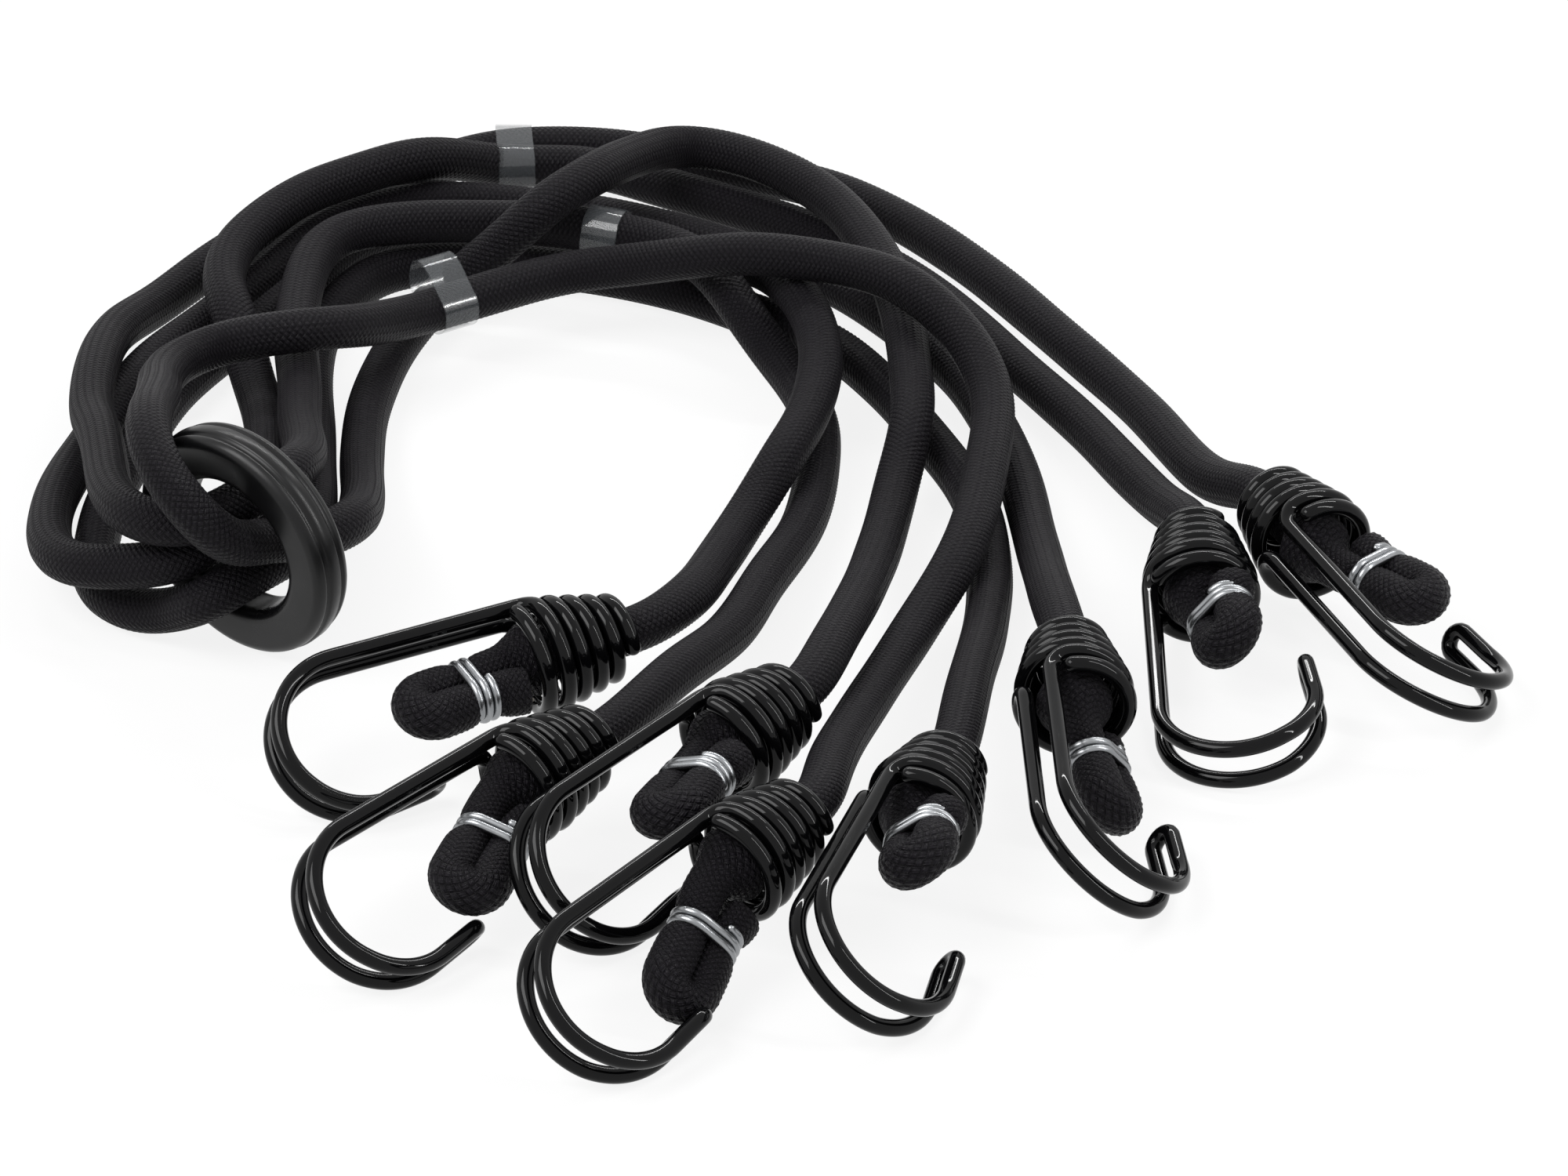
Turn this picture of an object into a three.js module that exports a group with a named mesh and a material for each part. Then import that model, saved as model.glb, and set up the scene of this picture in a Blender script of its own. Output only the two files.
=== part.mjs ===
// Multi-arm bungee cord: four braided elastic cords run through one ring and give eight arms.
// Each arm ends in a hook of doubled wire, whose coil sits on the cord. Past the coil's mouth
// the cord is folded back on itself and held by a wire clamp ring. Millimetres, +Z up, and the
// bundle lies on the plane z = 0.
import * as THREE from 'three';

// Cord and its folded end
const cordDiameter = 9.5;
const coreDiameter = 5.4;
const coreLength = 1.2;
const gap = 0.3;
const foldGap = 0.4;
const foldDiameter = 7;
const foldReach = 32;
const leadIn = 9.85;
const leanRadius = 14;
const cutSetback = 3.4;
const flareAngle = 16;
const flareLength = 5;
const cordSides = 8;
const foldSteps = 6;
const cordTurnPerStep = 21;
const longestStep = 22;

// Hook wire and hook shape
const hookWire = 3.4;
const hookWireSides = 5;
const wireSpacing = 7.8;
const tipSpacing = 5.4;
const legLength = 38.7;
const bendRadius = 15.7;
const bendOver = 7;
const tipLength = 11;
const shoulderRadius = 4.5;
const shoulderStagger = 1.0;
const mouthRadius = 10.7;
const coilPitch = 3.9;
const coilTurns = 4.25;
const coilSeat = 0.4;
const stepsPerTurn = 8;
const bendSteps = 9;
const narrowSteps = 3;
const hairpinSteps = 5;
const shoulderSteps = 3;

// Clamp ring: a doubled turn of thin wire round both legs of the fold
const clampWire = 1.6;
const clampPitch = 2.1;
const clampTurns = 2.2;
const clampPlaceShare = 0.45;
const clampSeat = 0.35;

// Centre ring
const ringOuterDiameter = 50.4;
const ringFaceDiameter = 45.2;
const ringBore = 30;
const ringWidth = 9.6;
const ringCrownWidth = 2.8;
const ringGrooveDepth = 0.9;
const ringGroovePlace = 2.0;
const ringShoulder = 2.2;
const ringBoreRadius = 2.6;
const ringSegments = 32;
const ringCentre = [-120.8, -24.4, 25.4];
const ringHeading = 51;
const ringPitch = 5.5;

// Clear bands: flat film wound round strands that lie together
const bandWidth = 8.2;
const filmThickness = 0.6;
const bandGap = 0.5;
const bandSteps = 8;
const bands = {
  clear_band_1: { centre: [-72, 183.3, 6.3], along: [1, 0.07, -0.04], spread: [0, 5.2, -0.4] },
  clear_band_2: { centre: [-84.7, 96.7, 17.5], along: [0.838, 0.545, 0], spread: [-1.2, 2, 2] },
  clear_band_3: { centre: [-50, 128, 16], along: [0.928, -0.371, 0], spread: [0, 0.2, 0] },
};

const deg = Math.PI / 180;
const cordRadius = cordDiameter / 2;
const foldRadius = foldDiameter / 2;
const wireRadius = hookWire / 2;

// Each hook's place: the centre of its coil's mouth, the heading and pitch of its legs, the
// roll about them, and how far and which way its folded end leans.
const hooks = {
  a: { mouth: [-63.2, -62.8, 18.9], heading: -154.9, pitch: -2.3, roll: -38.4, lean: 6, leanRoll: 31, reachShare: 0.92 },
  b: { mouth: [-64, -113.3, 19.7], heading: -134.5, pitch: -3.6, roll: -38.3, lean: 25, leanRoll: 20, reachShare: 0.97 },
  c: { mouth: [-24.3, -102.6, 22.3], heading: -131.4, pitch: -4, roll: -45.9, lean: 19, leanRoll: 65, reachShare: 1 },
  d: { mouth: [-22, -145, 21.2], heading: -130.9, pitch: -5.1, roll: -39.8, lean: 26, leanRoll: -13, reachShare: 0.97 },
  e: { mouth: [14.1, -123.5, 18.4], heading: -107.9, pitch: -1, roll: -39.9, lean: 16, leanRoll: 76, reachShare: 0.79 },
  f: { mouth: [46.5, -83.2, 19.8], heading: -87.6, pitch: -2.8, roll: -40.6, lean: 24, leanRoll: -16, reachShare: 0.84 },
  g: { mouth: [73.9, -28.2, 12.4], heading: -89.4, pitch: -7, roll: 8.8, lean: 12, leanRoll: 40, reachShare: 0.75 },
  h: { mouth: [98.6, -15, 16.4], heading: -66, pitch: -3.2, roll: -27.4, lean: 22, leanRoll: 27, reachShare: 0.9 },
};

// The cords' routes from hook to hook, chosen by hand, with the crossings one over the other.
// The passes through the ring and the straight runs into the coils are worked out below.
const cordRoutes = {
  cord_1: {
    from: 'd', to: 'c',
    before: [
      [-1.5, -103, 20.5], [5, -73, 14.5], [16, -37, 12], [26, -11, 15.5], [31, 19.5, 16.5],
      [33, 51.5, 17.5], [28, 67, 22], [14, 84, 27], [-2, 95, 26], [-20, 99, 26],
      [-33, 103, 22.5], [-45, 109.5, 17.5], [-58, 110, 15.5], [-70, 103.5, 15.5],
      [-80, 97, 15.5], [-90, 90.5, 15.5], [-98, 80, 19], [-104, 70, 23.5],
      [-112, 64, 26], [-120, 62, 26], [-130, 64, 23], [-139, 57, 22.5], [-142, 42, 26],
      [-141, 23, 33], [-140.2, 4, 41], [-140, -14.5, 47.5], [-139, -26.5, 48],
      [-135.5, -34, 45], [-132, -38.5, 42], [-128, -39.5, 37.5],
    ],
    through: [[-6.5, 6, -10], [-6.5, 1.5, 1], [-10, -3, 12]],
    after: [
      [-100, -15, 23.3], [-98.6, 10.5, 14], [-100.2, 40, 7], [-100, 67.5, 5], [-95, 95.5, 5],
      [-87, 114, 7], [-80, 116.5, 12.5], [-71, 119, 19.5], [-63, 123.5, 25.5], [-54, 135, 26],
      [-46, 153.5, 21], [-34, 171, 15.5], [-20, 166, 15.5], [-2, 147, 15.5], [9, 120, 15.5],
      [14, 95, 15.5], [16, 66, 15.5], [16, 42, 15.5], [13, 28.5, 9.5], [9.5, 2.5, 10],
      [5, -31, 17], [-0.5, -60, 23],
    ],
  },
  cord_2: {
    from: 'h', to: 'b',
    before: [
      [79, 26, 10.5], [65, 68.5, 5], [49, 99.5, 5], [32, 130.5, 5], [15, 154.5, 5],
      [0, 169, 5], [-20, 179, 5], [-34, 184.5, 5], [-48, 188.5, 5.5], [-65, 189, 6],
      [-78, 188, 5.5], [-93, 179, 5], [-107, 169.5, 5], [-119, 158.5, 5],
      [-128, 147.5, 5], [-137, 134.5, 5], [-148, 115.5, 5], [-156, 91.5, 10.5],
      [-158, 63, 15.5], [-157, 42, 17.5], [-154, 27, 21], [-151, 6, 24.5],
      [-148.5, -11, 28], [-142.5, -26, 31],
    ],
    through: [[6, 6.5, -11], [2.5, 6.5, 1], [0, 8, 14]],
    after: [
      [-110, 7, 27], [-112.5, 31.5, 20.5], [-114, 58, 16], [-116, 80, 15.5],
      [-116, 98, 15.5], [-114, 117, 15.5], [-109, 128, 15.5], [-101, 132, 15.5],
      [-91, 134, 15.5], [-77, 134, 15.5], [-60, 132, 16], [-50, 128, 16], [-40, 124, 16],
      [-31, 117, 16], [-26, 109, 15.5], [-20, 98.5, 12], [-14, 91, 6.5], [-8, 77.5, 5],
      [-4, 60.5, 5], [-4, 39.5, 5], [-7, 15.5, 5.5], [-15, -14.5, 9.5], [-22, -42.5, 13.5],
      [-33, -70, 20],
    ],
  },
  cord_3: {
    from: 'f', to: 'g',
    before: [
      [43.5, -36, 17.5], [41.5, 1, 8.5], [37, 46.5, 5], [27, 81.5, 5], [13, 106.5, 5],
      [-1, 125.5, 5], [-20, 138.5, 5], [-37, 149.5, 5], [-55, 157.5, 5], [-71, 161.5, 5],
      [-81, 163.5, 5], [-96, 162.5, 5], [-107, 156.5, 5], [-115.5, 147, 5],
      [-121.5, 136, 5], [-128.5, 122, 5], [-138, 105, 5], [-148, 88, 5],
      [-154, 71, 5], [-158, 53.5, 5], [-161.5, 36, 7], [-163.5, 13, 10.5], [-162, -7, 13],
      [-157, -17.5, 15], [-150, -21, 16.5], [-142.5, -24, 18.5],
    ],
    through: [[9, -3, -11], [7.5, -2.5, 1], [8, -2, 14]],
    after: [
      [-119, 25, 15], [-121.5, 57, 8], [-125, 76.5, 6], [-127.5, 84.5, 10], [-129.5, 90.5, 14.5],
      [-133, 104, 15.5], [-132, 120, 15.5], [-126, 135, 15.5], [-116, 149, 15.5],
      [-107, 156, 15.5], [-95, 164, 15.5], [-86, 171.5, 12], [-76, 178, 7],
      [-65, 179, 6.2], [-55, 179, 6.2], [-42, 173.5, 5], [-29, 165.5, 5], [-11, 153.5, 5],
      [6, 138.5, 5], [23, 116.5, 5], [40, 84.5, 5], [53, 59.5, 5], [62, 35, 7],
      [68, 17.5, 9.5],
    ],
  },
  cord_4: {
    from: 'a', to: 'e',
    before: [
      [-31, -38.5, 19], [-25, -11, 12], [-21, 6.5, 9], [-16, 19, 11], [-11, 28, 15.5],
      [-6, 45, 15.5], [-3, 69, 16], [-5.5, 90, 16.5], [-11.5, 105, 16.5], [-19, 117.5, 14],
      [-26, 130.5, 7], [-37, 136.5, 5], [-49, 143, 5], [-63, 147.5, 5], [-81, 151.5, 5],
      [-95, 151.5, 5], [-104.5, 145, 5], [-110.5, 135, 5], [-116.5, 122.5, 5],
      [-124.5, 107, 5], [-133.5, 92, 5], [-141, 77, 5], [-145.5, 62.5, 5],
      [-149.5, 43.5, 5], [-153, 26.5, 5], [-154, 9.5, 5], [-153.5, -6, 5],
      [-149.5, -14.5, 5], [-145, -18.5, 5], [-139.5, -21, 5.5], [-133.5, -25, 9.5],
    ],
    through: [[0.5, -9, -11], [-1, -8.5, 1], [-1.4, -9.5, 15]],
    after: [
      [-110, 34.5, 10], [-111.5, 60.5, 5], [-113, 81.5, 5], [-112.5, 99.5, 5],
      [-109.5, 112, 5], [-105.5, 122, 5], [-99.5, 130, 5], [-91, 133.5, 5],
      [-80, 134, 5], [-63, 132, 5], [-46, 127, 5], [-32, 120, 5],
      [-18, 110, 5], [-2, 97.5, 5], [9, 79.5, 5], [20, 53.5, 5], [29, 26.5, 5.2],
      [31.5, -0.5, 5.5], [30, -33.5, 9.5], [26, -67, 16],
    ],
  },
};

// Material constants: colours as seen on the object
const sheathMaterial = () => new THREE.MeshStandardMaterial({ color: 0x1d1b20, roughness: 0.9 });
const coreMaterial = () => new THREE.MeshStandardMaterial({ color: 0xb9b4a8, roughness: 0.8 });
const hookMaterial = () => new THREE.MeshStandardMaterial({ color: 0x0c0c0e, roughness: 0.2 });
const ringMaterial = () => new THREE.MeshStandardMaterial({ color: 0x131315, roughness: 0.3 });
const zincMaterial = () => new THREE.MeshStandardMaterial({
  color: 0xc9cbcf, roughness: 0.25, metalness: 1,
});
const filmMaterial = () => new THREE.MeshStandardMaterial({
  color: 0xf2f4f5, roughness: 0.1, transparent: true, opacity: 0.35,
});

// A route through chosen stations. The section keeps its turn about the route, starting from
// a given direction at one station and carried both ways from there.
class Route extends THREE.Curve {
  constructor(stations, seed = 0, facing = null) {
    super();
    this.stations = stations;
    this.seed = seed;
    this.facing = facing;
  }

  getPoint(t, target = new THREE.Vector3()) {
    const place = t * (this.stations.length - 1);
    const index = Math.min(Math.floor(place + 1e-9), this.stations.length - 2);
    return target.lerpVectors(this.stations[index], this.stations[index + 1], place - index);
  }

  getPointAt(u, target) {
    return this.getPoint(u, target);
  }

  tangentOf(index) {
    const ahead = this.stations[Math.min(index + 1, this.stations.length - 1)];
    const here = this.stations[index];
    const behind = this.stations[Math.max(index - 1, 0)];
    const tangent = new THREE.Vector3();
    if (index < this.stations.length - 1) tangent.add(ahead.clone().sub(here).normalize());
    if (index > 0) tangent.add(here.clone().sub(behind).normalize());
    return tangent.normalize();
  }

  computeFrenetFrames() {
    const tangents = this.stations.map((_, index) => this.tangentOf(index));
    const normals = new Array(tangents.length);
    const square = (direction, tangent) => direction.clone()
      .addScaledVector(tangent, -direction.dot(tangent)).normalize();
    const first = tangents[this.seed];
    const start = this.facing ?? new THREE.Vector3(0, 0, Math.abs(first.z) < 0.9 ? 1 : 0)
      .add(new THREE.Vector3(Math.abs(first.z) < 0.9 ? 0 : 1, 0, 0));
    normals[this.seed] = square(start, first);
    for (let i = this.seed + 1; i < tangents.length; i += 1) {
      normals[i] = square(normals[i - 1], tangents[i]);
    }
    for (let i = this.seed - 1; i >= 0; i -= 1) {
      normals[i] = square(normals[i + 1], tangents[i]);
    }
    const binormals = tangents.map((tangent, i) => tangent.clone().cross(normals[i]));
    return { tangents, normals, binormals };
  }
}

// A regular section with one flat facing along its first axis.
function roundSection(radius, sides) {
  const points = [];
  for (let i = 0; i < sides; i += 1) {
    const angle = (i + 0.5) * 2 * Math.PI / sides;
    points.push(new THREE.Vector2(radius * Math.cos(angle), radius * Math.sin(angle)));
  }
  return new THREE.Shape(points);
}

function tube(stations, radius, sides, seed, facing) {
  return new THREE.ExtrudeGeometry(roundSection(radius, sides), {
    steps: stations.length - 1,
    extrudePath: new Route(stations, seed, facing),
    bevelEnabled: false,
  });
}

function mesh(name, geometry, material) {
  const piece = new THREE.Mesh(geometry, material);
  piece.name = name;
  return piece;
}

// The hook's own frame: x runs along the coil's axis from the mouth to the bend, y points to
// the side that the hook opens to, and z crosses from one wire to the other.
const halfSpacing = wireSpacing / 2;
const halfTipSpacing = tipSpacing / 2;
const legOffset = Math.sqrt(mouthRadius ** 2 - halfSpacing ** 2);
const legAngle = Math.atan2(halfSpacing, legOffset);
const bendCentre = new THREE.Vector3(legLength, bendRadius - legOffset, 0);
const coilLength = shoulderRadius + coilPitch * coilTurns;
const facetShare = Math.cos(Math.PI / stepsPerTurn);
const coilEndRadius = (cordRadius + coilSeat + wireRadius) / facetShare;

// A point on the coil: the angle is measured from the legs' side towards the first wire.
function onCoil(x, radius, angle) {
  return new THREE.Vector3(x, -radius * Math.cos(angle), radius * Math.sin(angle));
}

// The turn that takes a leg round into the coil, laid on the coil's cylinder.
function shoulder(start, side) {
  const points = [];
  for (let i = 0; i <= shoulderSteps; i += 1) {
    const phase = (i / shoulderSteps) * Math.PI / 2;
    const swept = shoulderRadius * (1 - Math.cos(phase)) / mouthRadius;
    const x = start - shoulderRadius * Math.sin(phase);
    points.push(onCoil(x, mouthRadius, side * (legAngle + swept)));
  }
  return points;
}

function bendPoints(side) {
  const points = [];
  const sweep = Math.PI + bendOver * deg;
  for (let i = 0; i <= bendSteps; i += 1) {
    const angle = sweep * i / bendSteps;
    const share = Math.max(i - (bendSteps - narrowSteps), 0) / narrowSteps;
    const apart = halfSpacing + (halfTipSpacing - halfSpacing) * share;
    points.push(new THREE.Vector3(
      bendCentre.x + bendRadius * Math.sin(angle),
      bendCentre.y - bendRadius * Math.cos(angle),
      side * apart,
    ));
  }
  return points;
}

function hairpinPoints() {
  const sweep = Math.PI + bendOver * deg;
  const along = new THREE.Vector3(Math.cos(sweep), Math.sin(sweep), 0);
  const centre = bendPoints(0)[bendSteps].clone()
    .addScaledVector(along, tipLength - halfTipSpacing);
  const points = [];
  for (let i = 0; i <= hairpinSteps; i += 1) {
    const angle = Math.PI * i / hairpinSteps;
    const point = centre.clone().addScaledVector(along, halfTipSpacing * Math.sin(angle));
    point.z = -halfTipSpacing * Math.cos(angle);
    points.push(point);
  }
  return points;
}

// The second leg's own turn lies on the mouth and ends beside the first leg.
const shoulderSweep = shoulderRadius / mouthRadius;
const shoulderAngle = legAngle + shoulderSweep;

function mouthTurn() {
  const points = [];
  const sweep = 2 * Math.PI - 2 * shoulderAngle;
  const steps = Math.round(sweep / (2 * Math.PI) * stepsPerTurn);
  const from = shoulderStagger - shoulderRadius;
  for (let i = 1; i <= steps; i += 1) {
    const share = i / steps;
    points.push(onCoil(from * (1 - share), mouthRadius, -shoulderAngle - sweep * share));
  }
  return points;
}

// The coil narrows from the mouth to a snug fit on the cord.
function coilPoints() {
  const points = [];
  const steps = Math.round(coilTurns * stepsPerTurn);
  for (let i = 1; i <= steps; i += 1) {
    const share = i / steps;
    const radius = mouthRadius + (coilEndRadius - mouthRadius) * share;
    const x = -shoulderRadius - coilPitch * coilTurns * share;
    points.push(onCoil(x, radius, shoulderAngle + 2 * Math.PI * coilTurns * share));
  }
  return points;
}

function hookStations() {
  const second = [...mouthTurn().reverse(), ...shoulder(shoulderStagger, -1).reverse()];
  const stations = [...second, ...bendPoints(-1)];
  const seed = second.length;
  stations.push(...hairpinPoints(), ...bendPoints(1).reverse(), ...shoulder(0, 1));
  stations.push(...coilPoints());
  return { stations, seed };
}

// The least gap of the coil to itself, turn to turn, measured on its own stations.
function leastSelfGap(stations, radius, apart) {
  let least = Infinity;
  const closest = new THREE.Vector3();
  for (let i = 0; i < stations.length; i += 1) {
    for (let j = i + apart; j < stations.length - 1; j += 1) {
      const line = new THREE.Line3(stations[j], stations[j + 1]);
      line.closestPointToPoint(stations[i], true, closest);
      least = Math.min(least, closest.distanceTo(stations[i]) - 2 * radius);
    }
  }
  return least;
}

// The folded end lies in a plane through the coil's axis. Across is the way it folds.
function foldStations(lean, reachShare) {
  const reach = foldReach * reachShare;
  const points = [];
  const tilt = lean * deg;
  const fold = foldRadius + foldGap / 2;
  const along = new THREE.Vector2(Math.cos(tilt), Math.sin(tilt));
  const across = new THREE.Vector2(-Math.sin(tilt), Math.cos(tilt));
  points.push(new THREE.Vector2(-leadIn, 0), new THREE.Vector2(wireRadius, 0));
  const leanSteps = 3;
  for (let i = 1; i <= leanSteps; i += 1) {
    const angle = tilt * i / leanSteps;
    points.push(new THREE.Vector2(
      wireRadius + leanRadius * Math.sin(angle),
      leanRadius * (1 - Math.cos(angle)),
    ));
  }
  const root = points[points.length - 1].clone();
  const straight = (reach - foldRadius - fold - root.x) / along.x;
  const turnCentre = root.clone().addScaledVector(along, straight).addScaledVector(across, fold);
  for (let i = 0; i <= foldSteps; i += 1) {
    const angle = Math.PI * i / foldSteps;
    points.push(turnCentre.clone()
      .addScaledVector(along, fold * Math.sin(angle))
      .addScaledVector(across, -fold * Math.cos(angle)));
  }
  const flare = flareAngle * deg;
  const back = along.clone().multiplyScalar(-Math.cos(flare))
    .addScaledVector(across, Math.sin(flare));
  const last = points[points.length - 1];
  const run = (last.x - cutSetback + back.x * flareLength) / along.x;
  points.push(last.clone().addScaledVector(along, -run));
  points.push(points[points.length - 1].clone().addScaledVector(back, flareLength));
  const clampPlace = reach * clampPlaceShare;
  const clampCentre = root.clone().addScaledVector(along, (clampPlace - root.x) / along.x)
    .addScaledVector(across, fold);
  return { points, clampCentre, along, across, back, fold };
}

function clampStations(fold) {
  const reach = foldRadius + clampSeat + clampWire / 2;
  const radius = reach / Math.cos(Math.PI / stepsPerTurn);
  const half = stepsPerTurn / 2;
  const turn = [];
  for (let i = 0; i <= half; i += 1) {
    const angle = Math.PI * i / half;
    turn.push(new THREE.Vector2(fold + radius * Math.sin(angle), radius * Math.cos(angle)));
  }
  for (let i = 0; i <= half; i += 1) {
    const angle = Math.PI * i / half;
    turn.push(new THREE.Vector2(-fold - radius * Math.sin(angle), -radius * Math.cos(angle)));
  }
  const count = Math.round(clampTurns * turn.length);
  const stations = [];
  for (let i = 0; i <= count; i += 1) {
    const place = turn[i % turn.length];
    const height = clampPitch * (i / turn.length - clampTurns / 2);
    stations.push(new THREE.Vector3(height, place.x, place.y));
  }
  return stations;
}

// A frame from a heading and pitch in degrees, rolled about its own x axis.
function poseMatrix(place, heading, pitch, roll) {
  const along = new THREE.Vector3(
    Math.cos(heading * deg) * Math.cos(pitch * deg),
    Math.sin(heading * deg) * Math.cos(pitch * deg),
    Math.sin(pitch * deg),
  );
  const side = new THREE.Vector3(0, 0, 1).cross(along).normalize();
  const up = along.clone().cross(side);
  const across = side.clone().multiplyScalar(Math.cos(roll * deg))
    .addScaledVector(up, Math.sin(roll * deg));
  const normal = along.clone().cross(across);
  return new THREE.Matrix4().makeBasis(along, across, normal)
    .setPosition(new THREE.Vector3(...place));
}

function placed(group, matrix) {
  matrix.decompose(group.position, group.quaternion, group.scale);
  return group;
}

// The bundle is moved so that the origin lies under its middle, on the ground.
const standing = [3.12, -0.25, 0.06];
const bungee = new THREE.Group();
bungee.position.set(...standing);
const hookFrames = {};

for (const [key, hook] of Object.entries(hooks)) {
  const matrix = poseMatrix(hook.mouth, hook.heading, hook.pitch, hook.roll);
  hookFrames[key] = matrix;
  const arm = placed(new THREE.Group(), matrix);

  const { stations, seed } = hookStations();
  const inward = new THREE.Vector3(0, 1, 0);
  const wire = tube(stations, wireRadius, hookWireSides, seed, inward);
  arm.add(mesh(`hook_wire_${key}`, wire, hookMaterial()));

  const end = new THREE.Group();
  end.rotation.x = hook.leanRoll * deg;
  const fold = foldStations(hook.lean, hook.reachShare);
  const flat = (point) => new THREE.Vector3(point.x, point.y, 0);
  const normal = new THREE.Vector3(0, 0, 1);
  const foldTube = tube(fold.points.map(flat), foldRadius, cordSides, 0, normal);
  end.add(mesh(`folded_end_${key}`, foldTube, sheathMaterial()));

  const cutFace = fold.points[fold.points.length - 1];
  const coreStart = cutFace.clone().addScaledVector(fold.back, gap);
  const coreStop = coreStart.clone().addScaledVector(fold.back, coreLength);
  const coreTube = tube([flat(coreStart), flat(coreStop)], coreDiameter / 2, cordSides, 0, normal);
  end.add(mesh(`core_end_${key}`, coreTube, coreMaterial()));

  const clamp = mesh(
    `clamp_ring_${key}`,
    tube(clampStations(fold.fold), clampWire / 2, hookWireSides),
    zincMaterial(),
  );
  clamp.position.copy(flat(fold.clampCentre));
  clamp.rotation.z = hook.lean * deg;
  end.add(clamp);
  arm.add(end);
  bungee.add(arm);
}

// Centre ring: a low crown between two grooves, round-shouldered faces and a rounded bore.
const ringMatrix = poseMatrix(ringCentre, ringHeading, ringPitch, 0);

function ringProfile() {
  const outer = ringOuterDiameter / 2;
  const face = ringFaceDiameter / 2;
  const inner = ringBore / 2;
  const half = ringWidth / 2;
  const crown = ringCrownWidth / 2;
  const round = ringShoulder;
  const soft = ringBoreRadius;
  const corner = Math.SQRT1_2;
  const side = [
    new THREE.Vector2(inner, half - soft),
    new THREE.Vector2(inner + soft * (1 - corner), half - soft * (1 - corner)),
    new THREE.Vector2(inner + soft, half),
    new THREE.Vector2(face, half),
    new THREE.Vector2(face + round * corner, half - round * (1 - corner)),
    new THREE.Vector2(face + round, half - round),
    new THREE.Vector2(face + round - ringGrooveDepth, ringGroovePlace),
    new THREE.Vector2(outer, crown),
  ];
  const other = side.map((point) => new THREE.Vector2(point.x, -point.y));
  return [...other, ...side.reverse(), other[0]];
}

const ring = placed(new THREE.Group(), ringMatrix);
const ringBody = mesh(
  'centre_ring',
  new THREE.LatheGeometry(ringProfile(), ringSegments),
  ringMaterial(),
);
ringBody.rotation.z = -Math.PI / 2;
ring.add(ringBody);
bungee.add(ring);

// A band's outline: two half circles apart by the spread, or nearly a circle round one strand.
function bandOutline(radius, reach, Kind) {
  const points = [];
  for (const side of [1, -1]) {
    for (let i = 0; i <= bandSteps; i += 1) {
      const angle = Math.PI * (i / bandSteps - 0.5) + (side > 0 ? 0 : Math.PI);
      points.push(new THREE.Vector2(
        side * reach + radius * Math.cos(angle),
        radius * Math.sin(angle),
      ));
    }
  }
  return new Kind(points);
}

for (const [name, band] of Object.entries(bands)) {
  const along = new THREE.Vector3(...band.along).normalize();
  const spread = new THREE.Vector3(...band.spread);
  const reach = spread.length();
  const across = spread.addScaledVector(along, -spread.dot(along)).normalize();
  const up = along.clone().cross(across);
  const inside = cordRadius + bandGap;
  const outline = bandOutline(inside + filmThickness, reach, THREE.Shape);
  outline.holes.push(bandOutline(inside, reach, THREE.Path));
  const film = new THREE.ExtrudeGeometry(outline, { depth: bandWidth, bevelEnabled: false });
  film.translate(0, 0, -bandWidth / 2);
  const place = new THREE.Matrix4().makeBasis(across, up, along)
    .setPosition(new THREE.Vector3(...band.centre));
  const holder = placed(new THREE.Group(), place);
  holder.add(mesh(name, film, filmMaterial()));
  bungee.add(holder);
}

// Stations along a smooth curve, closer together where it bends.
function stationsAlong(points) {
  const curve = new THREE.CatmullRomCurve3(points, false, 'centripetal');
  const fine = curve.getPoints(points.length * 12);
  const stations = [fine[0]];
  let last = fine[1].clone().sub(fine[0]).normalize();
  let travelled = 0;
  for (let i = 1; i < fine.length - 1; i += 1) {
    travelled += fine[i].distanceTo(fine[i - 1]);
    const heading = fine[i + 1].clone().sub(fine[i]).normalize();
    const turned = heading.angleTo(last) / deg;
    if (turned > cordTurnPerStep || travelled > longestStep) {
      stations.push(fine[i]);
      last = heading;
      travelled = 0;
    }
  }
  stations.push(fine[fine.length - 1]);
  return stations;
}

const coilRun = coilLength + cordRadius;
const leadOut = leadIn + gap;

function coilLead(key) {
  return [-coilRun, -coilLength, -leadOut].map((x) => new THREE.Vector3(x, 0, 0)
    .applyMatrix4(hookFrames[key]));
}

// A place in the ring's bore: across, up and along the ring's axis.
function inRing([across, up, along]) {
  return new THREE.Vector3(along, across, up).applyMatrix4(ringMatrix);
}

const toVector = (point) => new THREE.Vector3(...point);

for (const [name, route] of Object.entries(cordRoutes)) {
  const points = [
    ...coilLead(route.from).reverse(),
    ...route.before.map(toVector),
    ...route.through.map(inRing),
    ...route.after.map(toVector),
    ...coilLead(route.to),
  ];
  const stations = stationsAlong(points);
  bungee.add(mesh(name, tube(stations, cordRadius, cordSides), sheathMaterial()));
}

const coilStations = [...shoulder(0, 1), ...coilPoints()];
console.log('least gap in a hook coil',
  leastSelfGap(coilStations, wireRadius, stepsPerTurn - 2).toFixed(2), 'mm');
console.log('least gap in a clamp ring',
  leastSelfGap(clampStations(foldRadius + foldGap / 2), clampWire / 2, stepsPerTurn).toFixed(2), 'mm');

export default bungee;
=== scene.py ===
# %% [markdown]
# # A multi-arm bungee cord
# Four elastic cords run through one plastic ring and give eight arms. Each arm ends in a hook
# bent from one length of black wire, and past its coil the cord is folded back and clamped.
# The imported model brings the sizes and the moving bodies. This file gives each piece its real
# surface and finish, and repeats the places that the model was built from, in millimetres.

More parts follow.
